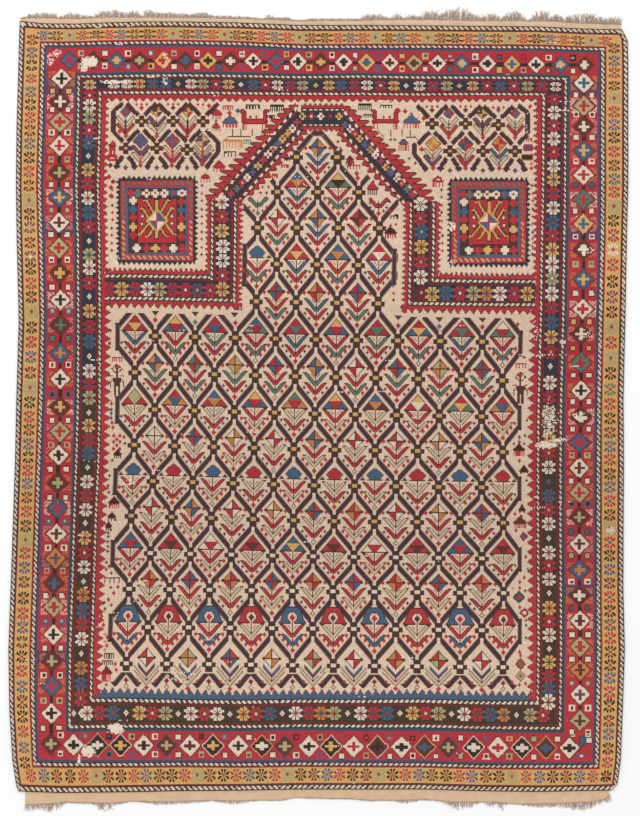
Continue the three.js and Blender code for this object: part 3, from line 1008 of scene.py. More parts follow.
def lay_diagonals():
    """The slanting parts of the band, from both legs up to the niche's top."""
    for side, slim, shift in ((-1, 1.0, 0.0), (1, 0.82, 1.8)):
        def place(point):
            x, y = point
            return (AXIS + (AXIS - x), y + 1.5) if side > 0 else point

        def beside(point, across, down):
            return place((point[0] + across * slim, point[1] + down * slim))
        wider = shift * 2.6
        flames = [flame(x + wider, y, OUTER_FOOT + wider, 6.5) for x, y in LEFT_FLAMES_OUT]
        flames += [flame(x, y, INNER_FOOT, -6.5) for x, y in LEFT_FLAMES_IN]
        for points in flames:
            polygon([place(point) for point in points], "R", "o")
        start, end = ((x + shift, y + shift) for x, y in (SLANT_START, SLANT_END))
        for away in (-1, 1):
            bar(*(beside(point, away * 9.2, away * 4.5) for point in (start, end)), 4.0, "R")
        for thick, wool in ((22.0, "c"), (15.0, "r"), (12.0, "V")):
            bar(place(start), place(end), thick * slim, wool)
        for away in (-1, 1):
            dashes(*(beside(point, away * 6.7, away * 5.8) for point in (start, end)))


def dashes(start, end):
    """Light dashes of a slanting cord, each a short level piece."""
    (ax, ay), (bx, by) = start, end
    count = int(abs(by - ay) / 5.9)
    for number in range(count + 1):
        share = number / count
        x, y = ax + (bx - ax) * share, ay + (by - ay) * share
        lean = 1 if bx > ax else -1
        bar((x - 1.3 * lean, y + 1.9), (x + 1.1 * lean, y - 1.5), 2.3, "W")


LEG_TOP = (223, 200)
LEFT_SHELF, LEFT_LEG = (160, 269), (205.3, 250)
RIGHT_SHELF, RIGHT_LEG = (480, 272.5), (440.5, 250)
TOP_START, TOP_END, TOP_LEVEL = (302, 116), (344, 116), (322, 104.5)


def column_at(place):
    """Column of knots at a place of the photo."""
    return int(knot_at(*place)[0])


def row_at(place):
    """Row of knots at a place of the photo."""
    return int(knot_at(*place)[1])


def lay_niche():
    """The niche's band: its slanting parts, both shelves and legs, the top and the flowers."""
    lay_diagonals()
    leg_row = row_at(LEG_TOP)
    corner_band(1, row_at(LEFT_SHELF), column_at(LEFT_LEG), leg_row, SIDE - 3)
    corner_band(-1, row_at(RIGHT_SHELF), column_at(RIGHT_LEG), leg_row + 1, COLUMNS - SIDE + 3)
    span = slice(column_at(TOP_START), column_at(TOP_END))
    row = row_at(TOP_LEVEL)
    for name, deep in TOP_PARTS:
        for level in range(deep):
            part = (row + level, span)
            lay_line(part, band_line(name, deep, level, KNOT_X[part], 1.0, 5.3))
        row += deep
    for x, y, (petals, heart) in FLOWERS:
        draw(f"box 0 0 3.6 1.4 {petals}, box 0 0 1.4 3.9 {petals}, box 0 0 1 1.2 {heart}", x, y)
    for x, heads in LEGS.items():
        for y, (petals, heart) in table(heads):
            stamp_at(TALL_ROSETTE, x, y, {"P": petals, "C": heart})
    for heads, x, step, y, sink in SHELVES:
        for number, (petals, heart) in enumerate(heads.split()):
            stamp_at(TALL_ROSETTE, x + step * number, y + number * sink, {"P": petals, "C": heart})


# The corner box: crosses along its sides, its top and its foot, from the middle.
BOX_PLUSES_SIDE = "-20 W, -11 B, -3 R, 6 Y, 15 R"
BOX_PLUSES_TOP = "-26 R, -19 G, -10.5 W, -1.5 W, 7.5 W, 16 B, 25 W"
BOX_PLUSES_FOOT = "-20 W, -10.5 R, -1.5 Y, 7.5 R, 16.5 W, 25 R"
MEDALLION_RAYS = table("""
    -3.5 -7.5 -10.5 -20.5, -8.5 -2.5 -14.5 -12.5, -8.5 3.5 -16.5 13.5, -3.5 7.5 -8.5 15.5
""")


def plus(x, y, wool, heart=None):
    box(x, y, 4.1, 1.9, wool)
    box(x, y, 1.9, 4.1, wool)
    if heart:
        box(x, y, 1.2, 1.2, heart)


def corner_box(x, y, half_wide, half_tall):
    """A square garden in the corner: teeth, hatched frame, crosses and a rayed medallion."""
    area, px, py = around(x, y, half_wide + 4, half_tall + 4)
    wide, tall = np.abs(px) - half_wide, np.abs(py) - half_tall
    side_teeth = (tall <= 0) & (wide <= 3.6 * tooth_height(py, 5.1))
    end_teeth = (wide <= 0) & (tall <= 3.6 * tooth_height(px, 5.1))
    paint(area, side_teeth | end_teeth, "V")
    box(x, y, half_wide - 1.5, half_tall - 1.5, "R")
    wide, tall = np.abs(px) / (half_wide - 4.4), np.abs(py) / (half_tall - 4.4)
    run = np.where(wide < tall, px - py * 0.8, py - px * 0.8)
    frame_dashes = (np.abs(np.maximum(wide, tall) - 1) < 0.045) & ((run / 5.4) % 1.0 < 0.5)
    paint(area, frame_dashes & (py < 0), "G")
    paint(area, frame_dashes & (py >= 0), "K")
    box(x, y, half_wide - 7.5, half_tall - 7.5, "B")
    box(x, y, half_wide - 9.3, half_tall - 9.3, "L")
    for dy, wool in table(BOX_PLUSES_SIDE):
        plus(x - half_wide + 14, y + dy, wool)
        plus(x + half_wide - 14, y + dy + 1, "R" if wool == "W" else wool)
    for dx, wool in table(BOX_PLUSES_TOP):
        plus(x + dx, y - half_tall + 14, wool, "R")
    for dx, wool in table(BOX_PLUSES_FOOT):
        plus(x + dx, y + half_tall - 14, wool)
    box(x, y, half_wide - 18.5, half_tall - 19.5, "R", "D")
    medallion(x, y)


def medallion(x, y):
    """A quartered diamond with hooked rays, yellow on a dark outline."""
    for wool, extra in (("D", 2.0), ("y", 0.0)):
        bar((x, y - 21 - extra / 2), (x, y - 7), 3.0 + extra, wool)
        bar((x, y + 7), (x, y + 18 + extra / 2), 3.0 + extra, wool)
        for ax, ay, bx, by in MEDALLION_RAYS:
            draw(f"bar* {ax} {ay} {bx} {by} {1.8 + extra} {wool}, "
                 f"bar* {bx} {by} {bx - 3} {by + 1} {1.6 + extra} {wool}", x, y)
        diamond(x, y, 11.6 + extra / 2, 12.4 + extra / 2, wool)
    diamond(x, y, 9.0, 9.6, "W")
    area, px, py = around(x, y, 10, 11)
    inner = np.abs(px) / 9.0 + np.abs(py) / 9.6 <= 1
    paint(area, inner & ((px > 0) != (py > 0)), "B")
    paint(area, inner & ((np.abs(px) < 0.6) | (np.abs(py) < 0.6)), "R")
    draw("diamond* 14.8 -4.5 1.5 1.8 W D, diamond* 15 3.2 1.5 1.8 W D", x, y)


# Small lattices of the spandrels.

SMALL_NODE = mirrored("""
    ....ooo ....oAA ....oAA ooooooo oNNNoyy oNNNoyy ooooooo ....oAA ....oAA ....ooo
""")
# Each: nodes of the upper and of the lower row, places of the outer and the inner upright
# bar, which way is outward, wool of each node's top, and the plants: place, head, upper and
# lower leaves, half size of the head.
SMALL_LATTICES = [
    ("141.3 122.4, 172.8 122.4, 203.4 122.4", "125.5 149.3, 156.6 149.5, 187 149.8",
     113.5, 218.5, -1, "RNl",
     """125.5 120 RB l R 4.8, 157 120 yN P l 4.8, 187.5 120 yR l R 4.8,
     140.7 149 PB P l 7.2, 172.5 149 RB l R 7.2, 202.5 149 yP K P 7.2"""),
    ("432 124.5, 466 124.5, 498.5 125", "449.5 151.5, 482.5 151.5, 515.5 152",
     528, 414, 1, "oNP",
     """449 121.5 BR l R 4.8, 482.5 121.5 yN P l 4.8, 515.5 121.5 BR l R 4.8,
     433 152 yO l P 7.2, 465.5 152 TR l R 7.2, 499 152 RO B l 7.2"""),
]


def small_plant(x, y, head, upper, lower, size):
    """A small plant: quartered head, two pairs of leaves."""
    diamond(x, y - 8, size, size, head[0], "o")
    area, px, py = around(x, y - 8, size, size)
    paint(area, (np.abs(px) + np.abs(py) <= size) & ((px > 0) == (py > 0)), head[1])
    draw(f"bar* 8 -3 .6 5.5 2.4 {upper} o, bar* 8 4 .6 12.5 2.4 {lower} o, "
         f"bar 0 -1 0 14 1.2 {'R' if size > 6 else 'o'}, spot 0 16 R", x, y)


def small_lattice(nodes_top, nodes_low, outer, inner, outward, tops, plants):
    """The little lattice in an upper corner of the field; outward is 1 in the right corner."""
    nodes_top, nodes_low = table(nodes_top), table(nodes_low)
    for x, y in nodes_top:
        draw("bar* 14.5 -18.5 3.4 -7.5 3 A N, bar* 2.8 8 13.6 19 3 A N", x, y)
    for x, y in nodes_low:
        draw("bar* 3.2 7.5 8.2 14.5 3 A N, diamond* 9 17 3.9 3.8 A", x, y)
    edge, near = (nodes_low[-1], nodes_top[0]) if outward > 0 else (nodes_low[0], nodes_top[-1])
    top, low, edge = near[1], nodes_low[0][1], edge[0] + outward * 3
    bar((edge, top - 18.5), (outer - outward, top - 12.5), 3.0, "A", "N")
    bar((outer, top - 12), (outer, top + 9), 3.2, "A", "N")
    bar((outer - outward, top + 10.5), (edge, top + 19), 3.0, "A", "N")
    bar((inner, low - 8), (inner, low + 3), 3.2, "A", "N")
    draw("bar 1 3.5 10 15 3 A N, diamond 11 17 3.9 3.8 A", inner, low, outward)
    for x, y in nodes_top + nodes_low:
        stamp_at(SMALL_NODE, x, y)
    for x, y in nodes_low:
        spot(x, y + 18.5, "P")
    for (x, y), wool in zip(nodes_top, tops):
        draw(f"spot 0 -14.8 {wool}, dot -5.2 -18 R, dot 0 -18 R, dot 5.2 -18 R", x, y)
    for row in table(plants):
        small_plant(*row)


# Small fillers. Combs: middle, width, height, count of teeth and wool.
COMBS = table("""
    252.8 106.5 13.5 4 5 D, 277 108 14 6 7 D, 228 107.5 10.5 4.5 5 R, 271 116.5 7.5 3.5 4 D,
    232.5 144 19 8 7 O, 247 142 8 5 4 G, 230 154 12 5 4 o, 365 107 14 6 7 D, 386 106.5 12 4 5 D,
    368 116 10 3.6 5 D, 353.5 166.8 13 3.6 5 R, 350 163 9 3 5 D, 117 359 10.5 4.4 5 R,
    521 366 11 5 4 R, 109 656 10.5 6 5 o, 107.5 662.5 11 5 6 o, 112 580 15 6 4 o, 394 217 8 4 3 D,
    287 159.5 6 3 3 D, 284.5 166 8 3 5 R, 274.5 176 6 4 3 R, 529 140 6 4 3 R
""")
# Roofs: middle of the eaves, width, height, count of legs, where they end, wools of both.
ROOFS = table("""
    216.8 114.2 9.5 5 4 118.5 RR, 216 128 10 4.5 4 131 RR, 219 167 12 6 4 171.5 RR,
    205.5 178.3 11 4.5 4 181.5 RR, 230 122.5 15 7 5 127.5 BR, 411.5 122.3 17 7 6 128 BR,
    403.5 144 11 4.6 5 150 BR, 438 181 11 5 4 186 RR, 350 160 8 3.5 4 163 NR,
    372.5 189 11 7 5 195 RD, 390.5 233 12 6 5 238 DR, 112 146 8 4 5 153 rR,
    117.5 455 9 4.5 4 457.5 DD, 114 503 11 6 5 508 DR, 519 450.5 12 6.5 6 456 DR,
    524 472 9 6 2 473 DD, 522 511 7 6 2 512 DD, 112 518 9 5 3 521 DD, 108.5 527.5 7 5 3 530 DD,
    106.5 673 10 6.5 5 681 rR, 520 523 12.5 6.5 6 528 NR
""")
# Small diamonds, small crosses, and marks that are diamonds in red and blue, else crosses.
SPOTS = table("""
    113 143 R, 120 131 R, 110 165 o, 109 177 R, 113 181 R, 111 187 R, 111 196 R
""")
DOTS = table("""
    386 215 o, 390 211 R, 396 224 R, 391 226 R, 393 286 B, 394 293 R, 393 300 o, 263 187.5 R,
    269 187.5 R, 261 193 o, 267 193 o
""")
MARKS = table("""
    237.5 111 B, 216 121.5 D, 230 112.8 R, 213 150 P, 209 106 R, 405 111.5 R, 411.5 113.5 P,
    424 118.5 R, 422 149 R, 409 158 P, 415 163 o, 391 140 o, 395 140 o, 357 173 R, 357.5 178 R,
    338 142 D, 390 202 o, 370 203 o, 341 134 R
""")
# Crosses, most of them down both sides of the lattice, taller ones in red and blue.
TALL_MARKS = table("""
    373 182 o, 111 404 R, 111 410 B, 111 414 B, 111 418.5 B, 112.5 423.5 R, 112.5 428 R,
    114 436 R, 120 436 R, 117 439.5 R, 114 442.5 R, 120 442.5 R, 117 446 R, 114 449 R, 120 449 R,
    124.5 437 R, 124.5 443 D, 112.5 460.5 o, 107.5 487 R, 109 476 o, 109 492 o, 110 344 R,
    110.5 331 o, 524 357 o, 527 420 o, 514 444 o, 524 444 o, 525 436 N, 519 438 B, 519 442 R,
    519.5 461 R, 527 480 o, 515 515 R, 521 517 R, 518 325 R, 522 333 o, 108 533 o, 108 537 o,
    108 541 o, 108 546.5 o, 108 552 o, 106 562 o, 109.5 567 R, 106.5 570 o, 111 573 o,
    110.5 587 o, 118 587 R, 113.5 593.5 R, 108.5 600 R, 104.5 603 o, 111.5 605 o, 104.5 609 o,
    102 617 R, 103 626 R, 105 634 O, 107 638 R, 105 642 O, 107 646 R, 104.5 650 O, 115 664 R,
    116 670 R, 106.5 685 N, 516 531 R, 526 558 R, 528 569.5 G, 524.5 578.5 R, 519.5 582.5 R,
    519.5 588 R, 513 588.5 p, 525 591 o, 519.5 607.5 R, 526 621 o, 526 626 o, 526 638 o,
    520 652 R, 520.5 656.5 R, 529 600 R, 512 683 R, 519 685 R, 526 684 R
""")
# Larger diamonds: place, half width, half height, wools of outline and heart.
MARGIN_DIAMONDS = table("""
    523.5 536.5 3.6 4.2 RB, 519 597 5.6 5.2 TR, 524.5 612.8 4 4.2 RW, 520.5 664 4.8 5 RG,
    520.5 676 4.2 4.6 YG
""")
# Columns of crosses beside the corner boxes: x, first and last y.
CROSS_COLUMNS = table("202 186 262, 112 182 262, 442 190 264, 532.5 186 262")
CROSS_STEP = 7.6
CORNER_MARKS = """
    diamond 530 106.5 2.4 2.4 R, box 528.5 148 4 2.4 P R, box 527 157 5.5 2.2 D O,
    diamond 531.5 164 2.2 2.4 O, diamond 531.5 168.5 2 2 R, box 112 158 4 2.2 R R,
    box 112 158 2 .8 I"""
# A standing figure from the neck down and up: round head, red crown, dark coat, thin legs.
PERSON = """
    diamond 0 4 6 5.6 o, diamond 0 4 4.4 4.2 W, box 0 1.8 2 1.8 R, box 0 6 1 2 o,
    bar* 4 14 6.8 18 1 o, bar* 6.8 18 6.4 22 1 o, box* 1.9 24 1.2 6 o, box* 1.9 30.6 1.2 .8 R,
    box 0 10.5 .9 2.6 o, box 0 15.2 4.2 2.2 o, box 0 19 3.2 2.6 o, box* 5.6 {hands} 2 .9 R"""
# A small beast with a head at each end.
CREATURE = """
    box 0 0 12.5 1.4 R r, box* 10.5 -5 1.4 5 R r, box* 12 -10.5 2.2 1 R r,
    box* 8 5 .6 3.2 R, box* 11 5 .6 3.2 R, dot -4 -5 o, dot 2 -5 R"""
# Thin dark strokes, a frame with short uprights.
LINE_MARKS = """
    bar -17 0 14 .6 .9 o, bar -17 0 -22 -6 .9 o, bar 14 0 18 4 .9 o,
    bar -9 0 -9 -7 .9 o, bar 2 0 2 -7 .9 o, bar 10 0 10 -7 .9 o"""


def comb(x, y, wide, tall, teeth, wool):
    """A comb: a level line with teeth hanging from it."""
    box(x, y - tall / 2 + 0.6, wide / 2, 0.8, wool)
    for number in range(teeth):
        tooth = x - wide / 2 + 0.6 + (wide - 1.2) * number / (teeth - 1)
        box(tooth, y + 0.8, 0.6, tall / 2 - 0.6, wool)


def roofed(x, y, wide, tall, legs, foot, wools):
    """A pointed roof on thin legs."""
    polygon([(x, y - tall), (x + wide / 2, y), (x - wide / 2, y)], wools[0], "r")
    for number in range(legs):
        leg_x = x - wide / 2 + 1.2 + (wide - 2.4) * number / (legs - 1)
        box(leg_x, (y + foot) / 2 + 0.6, 0.6, (foot - y) / 2, wools[1])


def mark(x, y, wool):
    """A diamond in red or blue, else a cross."""
    stamp_at(SOLID_DIAMOND if wool in "RB" else PLUS, x, y, {"s": wool})


def tall_mark(x, y, wool):
    """A taller cross in red or blue, else a small one."""
    stamp_at(TALL_PLUS if wool in "RB" else PLUS, x, y, {"s": wool})


PEOPLE = ((117, 365, 10.6), (520.5, 373, 12))       # place, and how low the hands are
CREATURES = ((254.5, 121.5, 1), (385.5, 121.5, -1))
LINE_PLACES = ((243, 136, -1), (400, 136.4, 1))


def lay_fillers():
    """All the small motifs round the lattice and beside the niche."""
    draw(CORNER_MARKS, 0, 0)
    kinds = (
        (comb, COMBS), (tall_mark, TALL_MARKS), (roofed, ROOFS), (mark, MARKS), (spot, SPOTS),
        (dot, DOTS),
    )
    for kind, rows in kinds:
        for row in rows:
            kind(*row)
    for x, y, wide, tall, (outline, heart) in MARGIN_DIAMONDS:
        diamond(x, y, wide, tall, outline, "o")
        diamond(x, y, wide * 0.55, tall * 0.55, heart)
    for x, y, hands in PEOPLE:
        draw(PERSON.format(hands=hands), x, y)
    for marks, rows in ((CREATURE, CREATURES), (LINE_MARKS, LINE_PLACES)):
        for row in rows:
            draw(marks, *row)
    for x, first, last in CROSS_COLUMNS:
        for number in range(int((last - first) / CROSS_STEP)):
            dot(x, first + number * CROSS_STEP, "R" if number % 3 else "o")


# Wool colours of every knot.

DYE_SEED, WEAR_SEED = 7, 11      # each random draw is a fixed one


def linear(colour):
    """Linear light from an sRGB hex colour."""
    parts = [int(colour[start:start + 2], 16) / 255 for start in (1, 3, 5)]
    return [part / 12.92 if part <= 0.04045 else ((part + 0.055) / 1.055) ** 2.4 for part in parts]


def abrash(rng):
    """Slow changes of one dye bath after another down the rug, only where the wool is red."""
    wave = np.interp(np.arange(ROWS), np.linspace(0, ROWS, 46), rng.normal(1.0, 0.10, 46))
    drift = np.linspace(0.93, 1.05, ROWS) * wave
    return np.where(chart == CODE["R"], drift[:, None], 1.0)


def knot_colours():
    """Dye of each knot, with the unevenness of hand-dyed and hand-spun wool."""
    rng = np.random.default_rng(DYE_SEED)
    table = np.array([linear(colour) for colour in WOOLS.values()])
    colours = table[chart]
    colours = colours * abrash(rng)[..., None] ** np.array([0.3, 1.5, 0.2])
    each = rng.normal(1.0, 0.075, chart.shape)
    row = np.cumsum(rng.normal(0.0, 0.012, ROWS))
    row = 1.0 + (row - np.linspace(row[0], row[-1], ROWS)) * 0.5
    colours = colours * (each * row[:, None])[..., None]
    tint = rng.normal(0.0, 0.03, chart.shape + (3,))
    colours = colours * (1.0 + tint)
    return np.clip(colours, 0.0, 1.0)


# Places worn down to the foundation: centre, half width, half height, share of bare knots.
WORN = table("""
    89 62 9 5.5 1, 84 68 4 4 0.8, 112 82 13 2.2 0.7, 125 82 5 2.6 0.8, 57 53 5 4 0.5,
    50 60 4 7 0.5, 116 728.5 8.5 6 1, 88 751.5 7.5 6 1, 546 445 12 4 0.9, 549 421 8 20 0.4,
    563 342 4 2.4 0.8, 452 227 4 5 0.8, 528 122 2.6 13 0.06, 452 262 3 2 0.7, 130 484 5 6 0.25,
    559 440 8 2 0.8, 180 674 16 8 0.12, 536 330 3 12 0.2, 610 530 5 4 0.5, 166 60 3 9 0.3,
    79 759 1.4 7 0.9, 303 180 10 8 0.08, 540 355 24 1 0.5, 585 334 8 5 0.3, 586 250 8 5 0.3,
    580 417 8 5 0.35, 165 80 3 6 0.4
""")
LINE_COUNT = 110          # fine level lines where single rows of pile have gone


def lay_wear():
    """Bare patches with ragged edges, and short level lines of lost pile."""
    rng = np.random.default_rng(WEAR_SEED)
    for x, y, half_wide, half_tall, share in WORN:
        area, px, py = around(x, y, half_wide, half_tall)
        away = np.hypot(px / half_wide, py / half_tall)
        ragged = away + rng.normal(0.0, 0.12, px.shape) < 0.9
        paint(area, ragged & (rng.random(px.shape) < share), "F")
    for _ in range(LINE_COUNT):
        row, col = int(rng.integers(4, ROWS - 4)), int(rng.integers(4, COLUMNS - 30))
        length = int(rng.integers(2, 14))
        bare = rng.random(length) < 0.45
        chart[row, col:col + length][bare] = CODE["F"]


# Centre, half width and half height.
CORNER_BOXES = ((157, 220.5, 38, 41.5), (488.7, 222.3, 38.5, 42))


def draw_chart():
    """The whole chart, later motifs over earlier ones."""
    lay_stripes()
    lay_saw_teeth()
    lay_rosettes()
    lay_main_band()
    lay_lattice()
    lay_plants()
    lay_niche_top()
    lay_niche()
    for row in CORNER_BOXES:
        corner_box(*row)
    for row in SMALL_LATTICES:
        small_lattice(*row)
    lay_fillers()
    lay_wear()


draw_chart()


# Cloth.

MM = 0.001
PILE_TOP = 5.0 * MM          # mean height of the pile's tips
PILE_EDGE = 3.3 * MM         # height at the outermost knots
PILE_FOOT = 2.5 * MM         # the pile's slab starts inside the foundation
BACK_TOP = 2.8 * MM
BACK_FOOT = 0.2 * MM
BANDS = 5                    # the pile is cut into bands of rows, each a piece of its own
DYE_DEPTH = 0.82             # the studio's light is this much stronger than a white floor needs
WEAVE_TOP = 1.7 * MM
WEAVE_FOOT = 0.3 * MM
WEAVE_GRID = (400, 10)       # points along and across a woven end
BACK_GRID = (150, 160)       # points across and along the foundation
# Heights in the baking map: end of the top's share, both edges of the walls' strip, and the
# upper edge of the underside's.
MAP_TOP = 0.14
MAP_WALLS = (0.13, 0.10)
MAP_UNDER = 0.09

# Outer edge of the plain-woven ends, across and down.
TOP_HEM = table("""
    19.8 18.2, 48 18, 75 19, 95 17.7, 142 17.2, 209 17.8, 248 18.6, 288 20, 300 20.6, 328 20.3,
    369 20.2, 409 19.3, 452 20.4, 496 20.9, 525 20.7, 555 21.6, 584 23.6, 622.3 24.6
""")
BOTTOM_HEM = table("""
    24 804.8, 48 803.4, 68 802.1, 88 802.8, 115 802.8, 128.5 801.4, 168.7 801.4, 209 800.6,
    248 800.4, 282 800.2, 295 797.6, 322 798.4, 349 798.8, 369 800.6, 409 799.8, 430 799.7,
    452 801.8, 496 802, 518 804.2, 555 803.2, 588 802, 604.6 799, 611 793.5
""")
# How far the loose warp ends reach, across and down.
TOP_TUFTS = table("""
    21 16, 27.5 13, 35 11.5, 43 10.8, 55 11.8, 58 16.5, 62 14, 71 10.3, 80 13.5, 94 14.5, 98 11,
    104 9, 118 8.6, 122 11, 137 9, 140 15.5, 147 8, 160 11, 170 10.5, 190 12.5, 205 10, 212 14,
    238 14.5, 252 16, 264 17, 269 11.8, 273 16, 289 15.5, 292 19, 303 19, 309 17, 331 17, 345 17,
    360 17.5, 366 13.5, 376 11.5, 390 17, 399 10.5, 403 17, 410 12.5, 420 15.5, 424 11, 434 7.5,
    441 13, 450 6, 461 6.5, 472 11.5, 481 15.5, 493 10.5, 500 17, 512 10.5, 520 9, 527 20, 538 10,
    545 8.5, 548 17, 554 12.5, 566 16, 580 12, 590 11.3, 597 15.5, 610 17, 622 15
""")
BOTTOM_TUFTS = table("""
    24 813.5, 35 811, 52 813.5, 60 809.5, 66 804.5, 92 805.5, 103 812.5, 107 806.5, 110 815.5,
    112.5 807, 135 802.5, 156 806.5, 186 805, 212 802.5, 233 806, 262 801.8, 290 799, 318 799.8,
    350 800.8, 366 802, 386 801, 404 805.5, 424 801, 440 803.4, 457 811.5, 468 809.5, 483 803,
    490 809, 497.5 806, 500.5 814.5, 504 807.5, 510 804.6, 538 809, 562 808.4, 575 811.5, 588 812,
    603 804
""")


def metres(x, y):
    """The frame's across and up for places across and down."""
    return (x - MIDDLE[0]) * UNIT, (MIDDLE[1] - y) * UNIT


def pile_height(x, y):
    """A used rug is never quite level: slow swells of a fraction of a millimetre."""
    swell = np.sin(x / 0.097 + y / 0.150) + np.sin(y / 0.083 - x / 0.260) + np.sin((x + y) / 0.061)
    return PILE_TOP + 0.35 * MM * (swell / 3 - 0.2)


def add_object(name, data):
    made = bpy.data.objects.new(name, data)
    bpy.context.scene.collection.objects.link(made)
    return made


def slab(name, x, y, top, foot, material, colours=None, knots=None):
    """A closed slab over a grid of places: a quad for each cell, walls and a flat underside."""
    rows, cols = x.shape
    number = np.arange(rows * cols).reshape(rows, cols)
    quads = np.stack([number[:-1, :-1], number[1:, :-1], number[1:, 1:], number[:-1, 1:]], axis=-1)
    quads = quads.reshape(-1, 4)
    ring = np.concatenate([number[0, :-1], number[:-1, -1], number[-1, :0:-1], number[:0:-1, 0]])
    low = np.arange(len(ring)) + rows * cols
    after = np.roll(np.arange(len(ring)), -1)
    walls = np.stack([ring, ring[after], low[after], low], axis=-1)
    points = np.stack([x.ravel(), y.ravel(), top.ravel()], axis=-1)
    under = points[ring]
    under[:, 2] = foot
    mesh = bpy.data.meshes.new(name)
    faces = quads.tolist() + walls.tolist() + [low.tolist()]
    mesh.from_pydata(np.concatenate([points, under]).tolist(), [], faces)
    lay_bake_map(mesh, quads, ring, rows, cols)
    if knots is not None:
        lay_knot_map(mesh, quads, knots)
    if colours is not None:
        lay_colours(mesh, colours, len(quads))
    mesh.materials.append(material)
    mesh.validate()
    return add_object(name, mesh)


def lay_bake_map(mesh, quads, ring, rows, cols):
    """One flat map: the top fills most of it, the walls and the underside have strips below."""
    across, down = np.meshgrid(np.linspace(0, 1, cols), np.linspace(1, MAP_TOP, rows))
    flat = np.stack([across.ravel(), down.ravel()], axis=-1)
    start = np.arange(len(ring)) / len(ring)
    end = start + 1 / len(ring)
    high, low = MAP_WALLS
    walls = np.stack([
        np.stack([places, np.full(len(ring), height)], axis=-1)
        for places, height in ((start, high), (end, high), (end, low), (start, low))
    ], axis=1).reshape(-1, 2)
    under = flat[ring]
    under[:, 1] = (under[:, 1] - MAP_TOP) / (1 - MAP_TOP) * MAP_UNDER
    values = np.concatenate([flat[quads.reshape(-1)], walls, under])
    uv = mesh.uv_layers.new(name="OFBake")
    uv.data.foreach_set("uv", values.astype(np.float32).ravel())


def lay_knot_map(mesh, quads, knots):
    """A second map counted in knots, for the relief of the pile."""
    flat = np.stack([knots[0].ravel(), knots[1].ravel()], axis=-1)
    values = np.zeros((len(mesh.loops), 2), dtype=np.float32)
    values[:quads.size] = flat[quads.reshape(-1)]
    uv = mesh.uv_layers.new(name="knots")
    uv.data.foreach_set("uv", values.ravel())


def lay_colours(mesh, colours, quad_count):
    """The dye of each knot on the four corners of its face."""
    values = np.ones((len(mesh.loops), 4), dtype=np.float32)
    values[:, :3] = linear(WOOLS["o"])
    values[:quad_count * 4, :3] = np.repeat(colours.reshape(-1, 3), 4, axis=0)
    layer = mesh.color_attributes.new(name="dye", type="FLOAT_COLOR", domain="CORNER")
    layer.data.foreach_set("color", values.ravel())


# Materials.

def node(tree, kind, settings=None, links=None):
    """Adds one shader node with its settings and what is linked into it."""
    made = tree.nodes.new(kind)
    for name, value in (settings or {}).items():
        if name in made.inputs:
            made.inputs[name].default_value = value
        else:
            setattr(made, name, value)
    for name, source in (links or {}).items():
        tree.links.new(source, made.inputs[name])
    return made


def new_material(name):
    material = bpy.data.materials.new(name)
    material.use_nodes = True
    material.node_tree.nodes.clear()
    return material, material.node_tree


def finish_material(tree, shader):
    node(tree, "ShaderNodeOutputMaterial", links={"Surface": shader.outputs["BSDF"]})


def two_tones(tree, place, scale, detail, first, second):
    """Two colours that run into each other in small patches."""
    patch = node(tree, "ShaderNodeTexNoise", {"Scale": scale, "Detail": detail},
                 {"Vector": place.outputs["Object"]})
    return node(tree, "ShaderNodeMixRGB", {
        "Color1": (*linear(first), 1), "Color2": (*linear(second), 1),
    }, {"Fac": patch.outputs["Fac"]})


def knotted_wool_pile():
    """Symmetric wool knots, clipped: matt, with a soft bump for each knot."""
    material, tree = new_material("knotted wool pile")
    dye = node(tree, "ShaderNodeAttribute", {"attribute_name": "dye"})
    place = node(tree, "ShaderNodeUVMap", {"uv_map": "knots"})
    knots = node(tree, "ShaderNodeTexVoronoi", {
        "voronoi_dimensions": "2D", "Scale": 1.0, "Randomness": 0.35,
    }, {"Vector": place.outputs["UV"]})
    bump = node(tree, "ShaderNodeBump", {
        "Strength": 0.35, "Distance": 0.0007, "invert": True,
    }, {"Height": knots.outputs["Distance"]})
    shader = node(tree, "ShaderNodeBsdfPrincipled", {
        "Roughness": 0.92, "Sheen Weight": 0.08, "Sheen Roughness": 0.6,
        "Specular IOR Level": 0.2,
    }, {"Base Color": dye.outputs["Color"], "Normal": bump.outputs["Normal"]})
    finish_material(tree, shader)
    return material


def plain_woven_wool(name, colour):
    """Plain weave of undyed wool: a mottled pale band with a fine rib across.

    Its threads lie about 1.2 mm apart. The rib here is 2.4 mm wide, coarser than the real
    one, so that it still shows from the camera.
    """
    material, tree = new_material(name)
    place = node(tree, "ShaderNodeTexCoord")
    weft = node(tree, "ShaderNodeTexWave", {
        "bands_direction": "Y", "Scale": 130.0, "Distortion": 1.5, "Detail": 1.0,
    }, {"Vector": place.outputs["Object"]})
    tint = two_tones(tree, place, 60.0, 4.0, colour, "#C9A583")
    bump = node(tree, "ShaderNodeBump", {"Strength": 0.5, "Distance": 0.4 * MM},
                {"Height": weft.outputs["Fac"]})
    shader = node(tree, "ShaderNodeBsdfPrincipled", {
        "Roughness": 0.9, "Specular IOR Level": 0.2,
    }, {"Base Color": tint.outputs["Color"], "Normal": bump.outputs["Normal"]})
    finish_material(tree, shader)
    return material


def spun_wool_ends():
    """Loose ends of the warp, hand-spun undyed wool: pale, hairy, without shine. The dark brown of
    its mottle is painted shade between the strands.
    """
    material, tree = new_material("loose warp ends")
    place = node(tree, "ShaderNodeTexCoord")
    # Pale undyed wool mottled with dark brown; the dark brown is painted shade deep in the mass of
    # strands.
    tint = two_tones(tree, place, 420.0, 2.0, "#E6CDB6", "#7C5A45")
    shader = node(tree, "ShaderNodeBsdfPrincipled", {
        "Roughness": 0.95, "Specular IOR Level": 0.1, "Sheen Weight": 0.1,
    }, {"Base Color": tint.outputs["Color"]})
    finish_material(tree, shader)
    return material


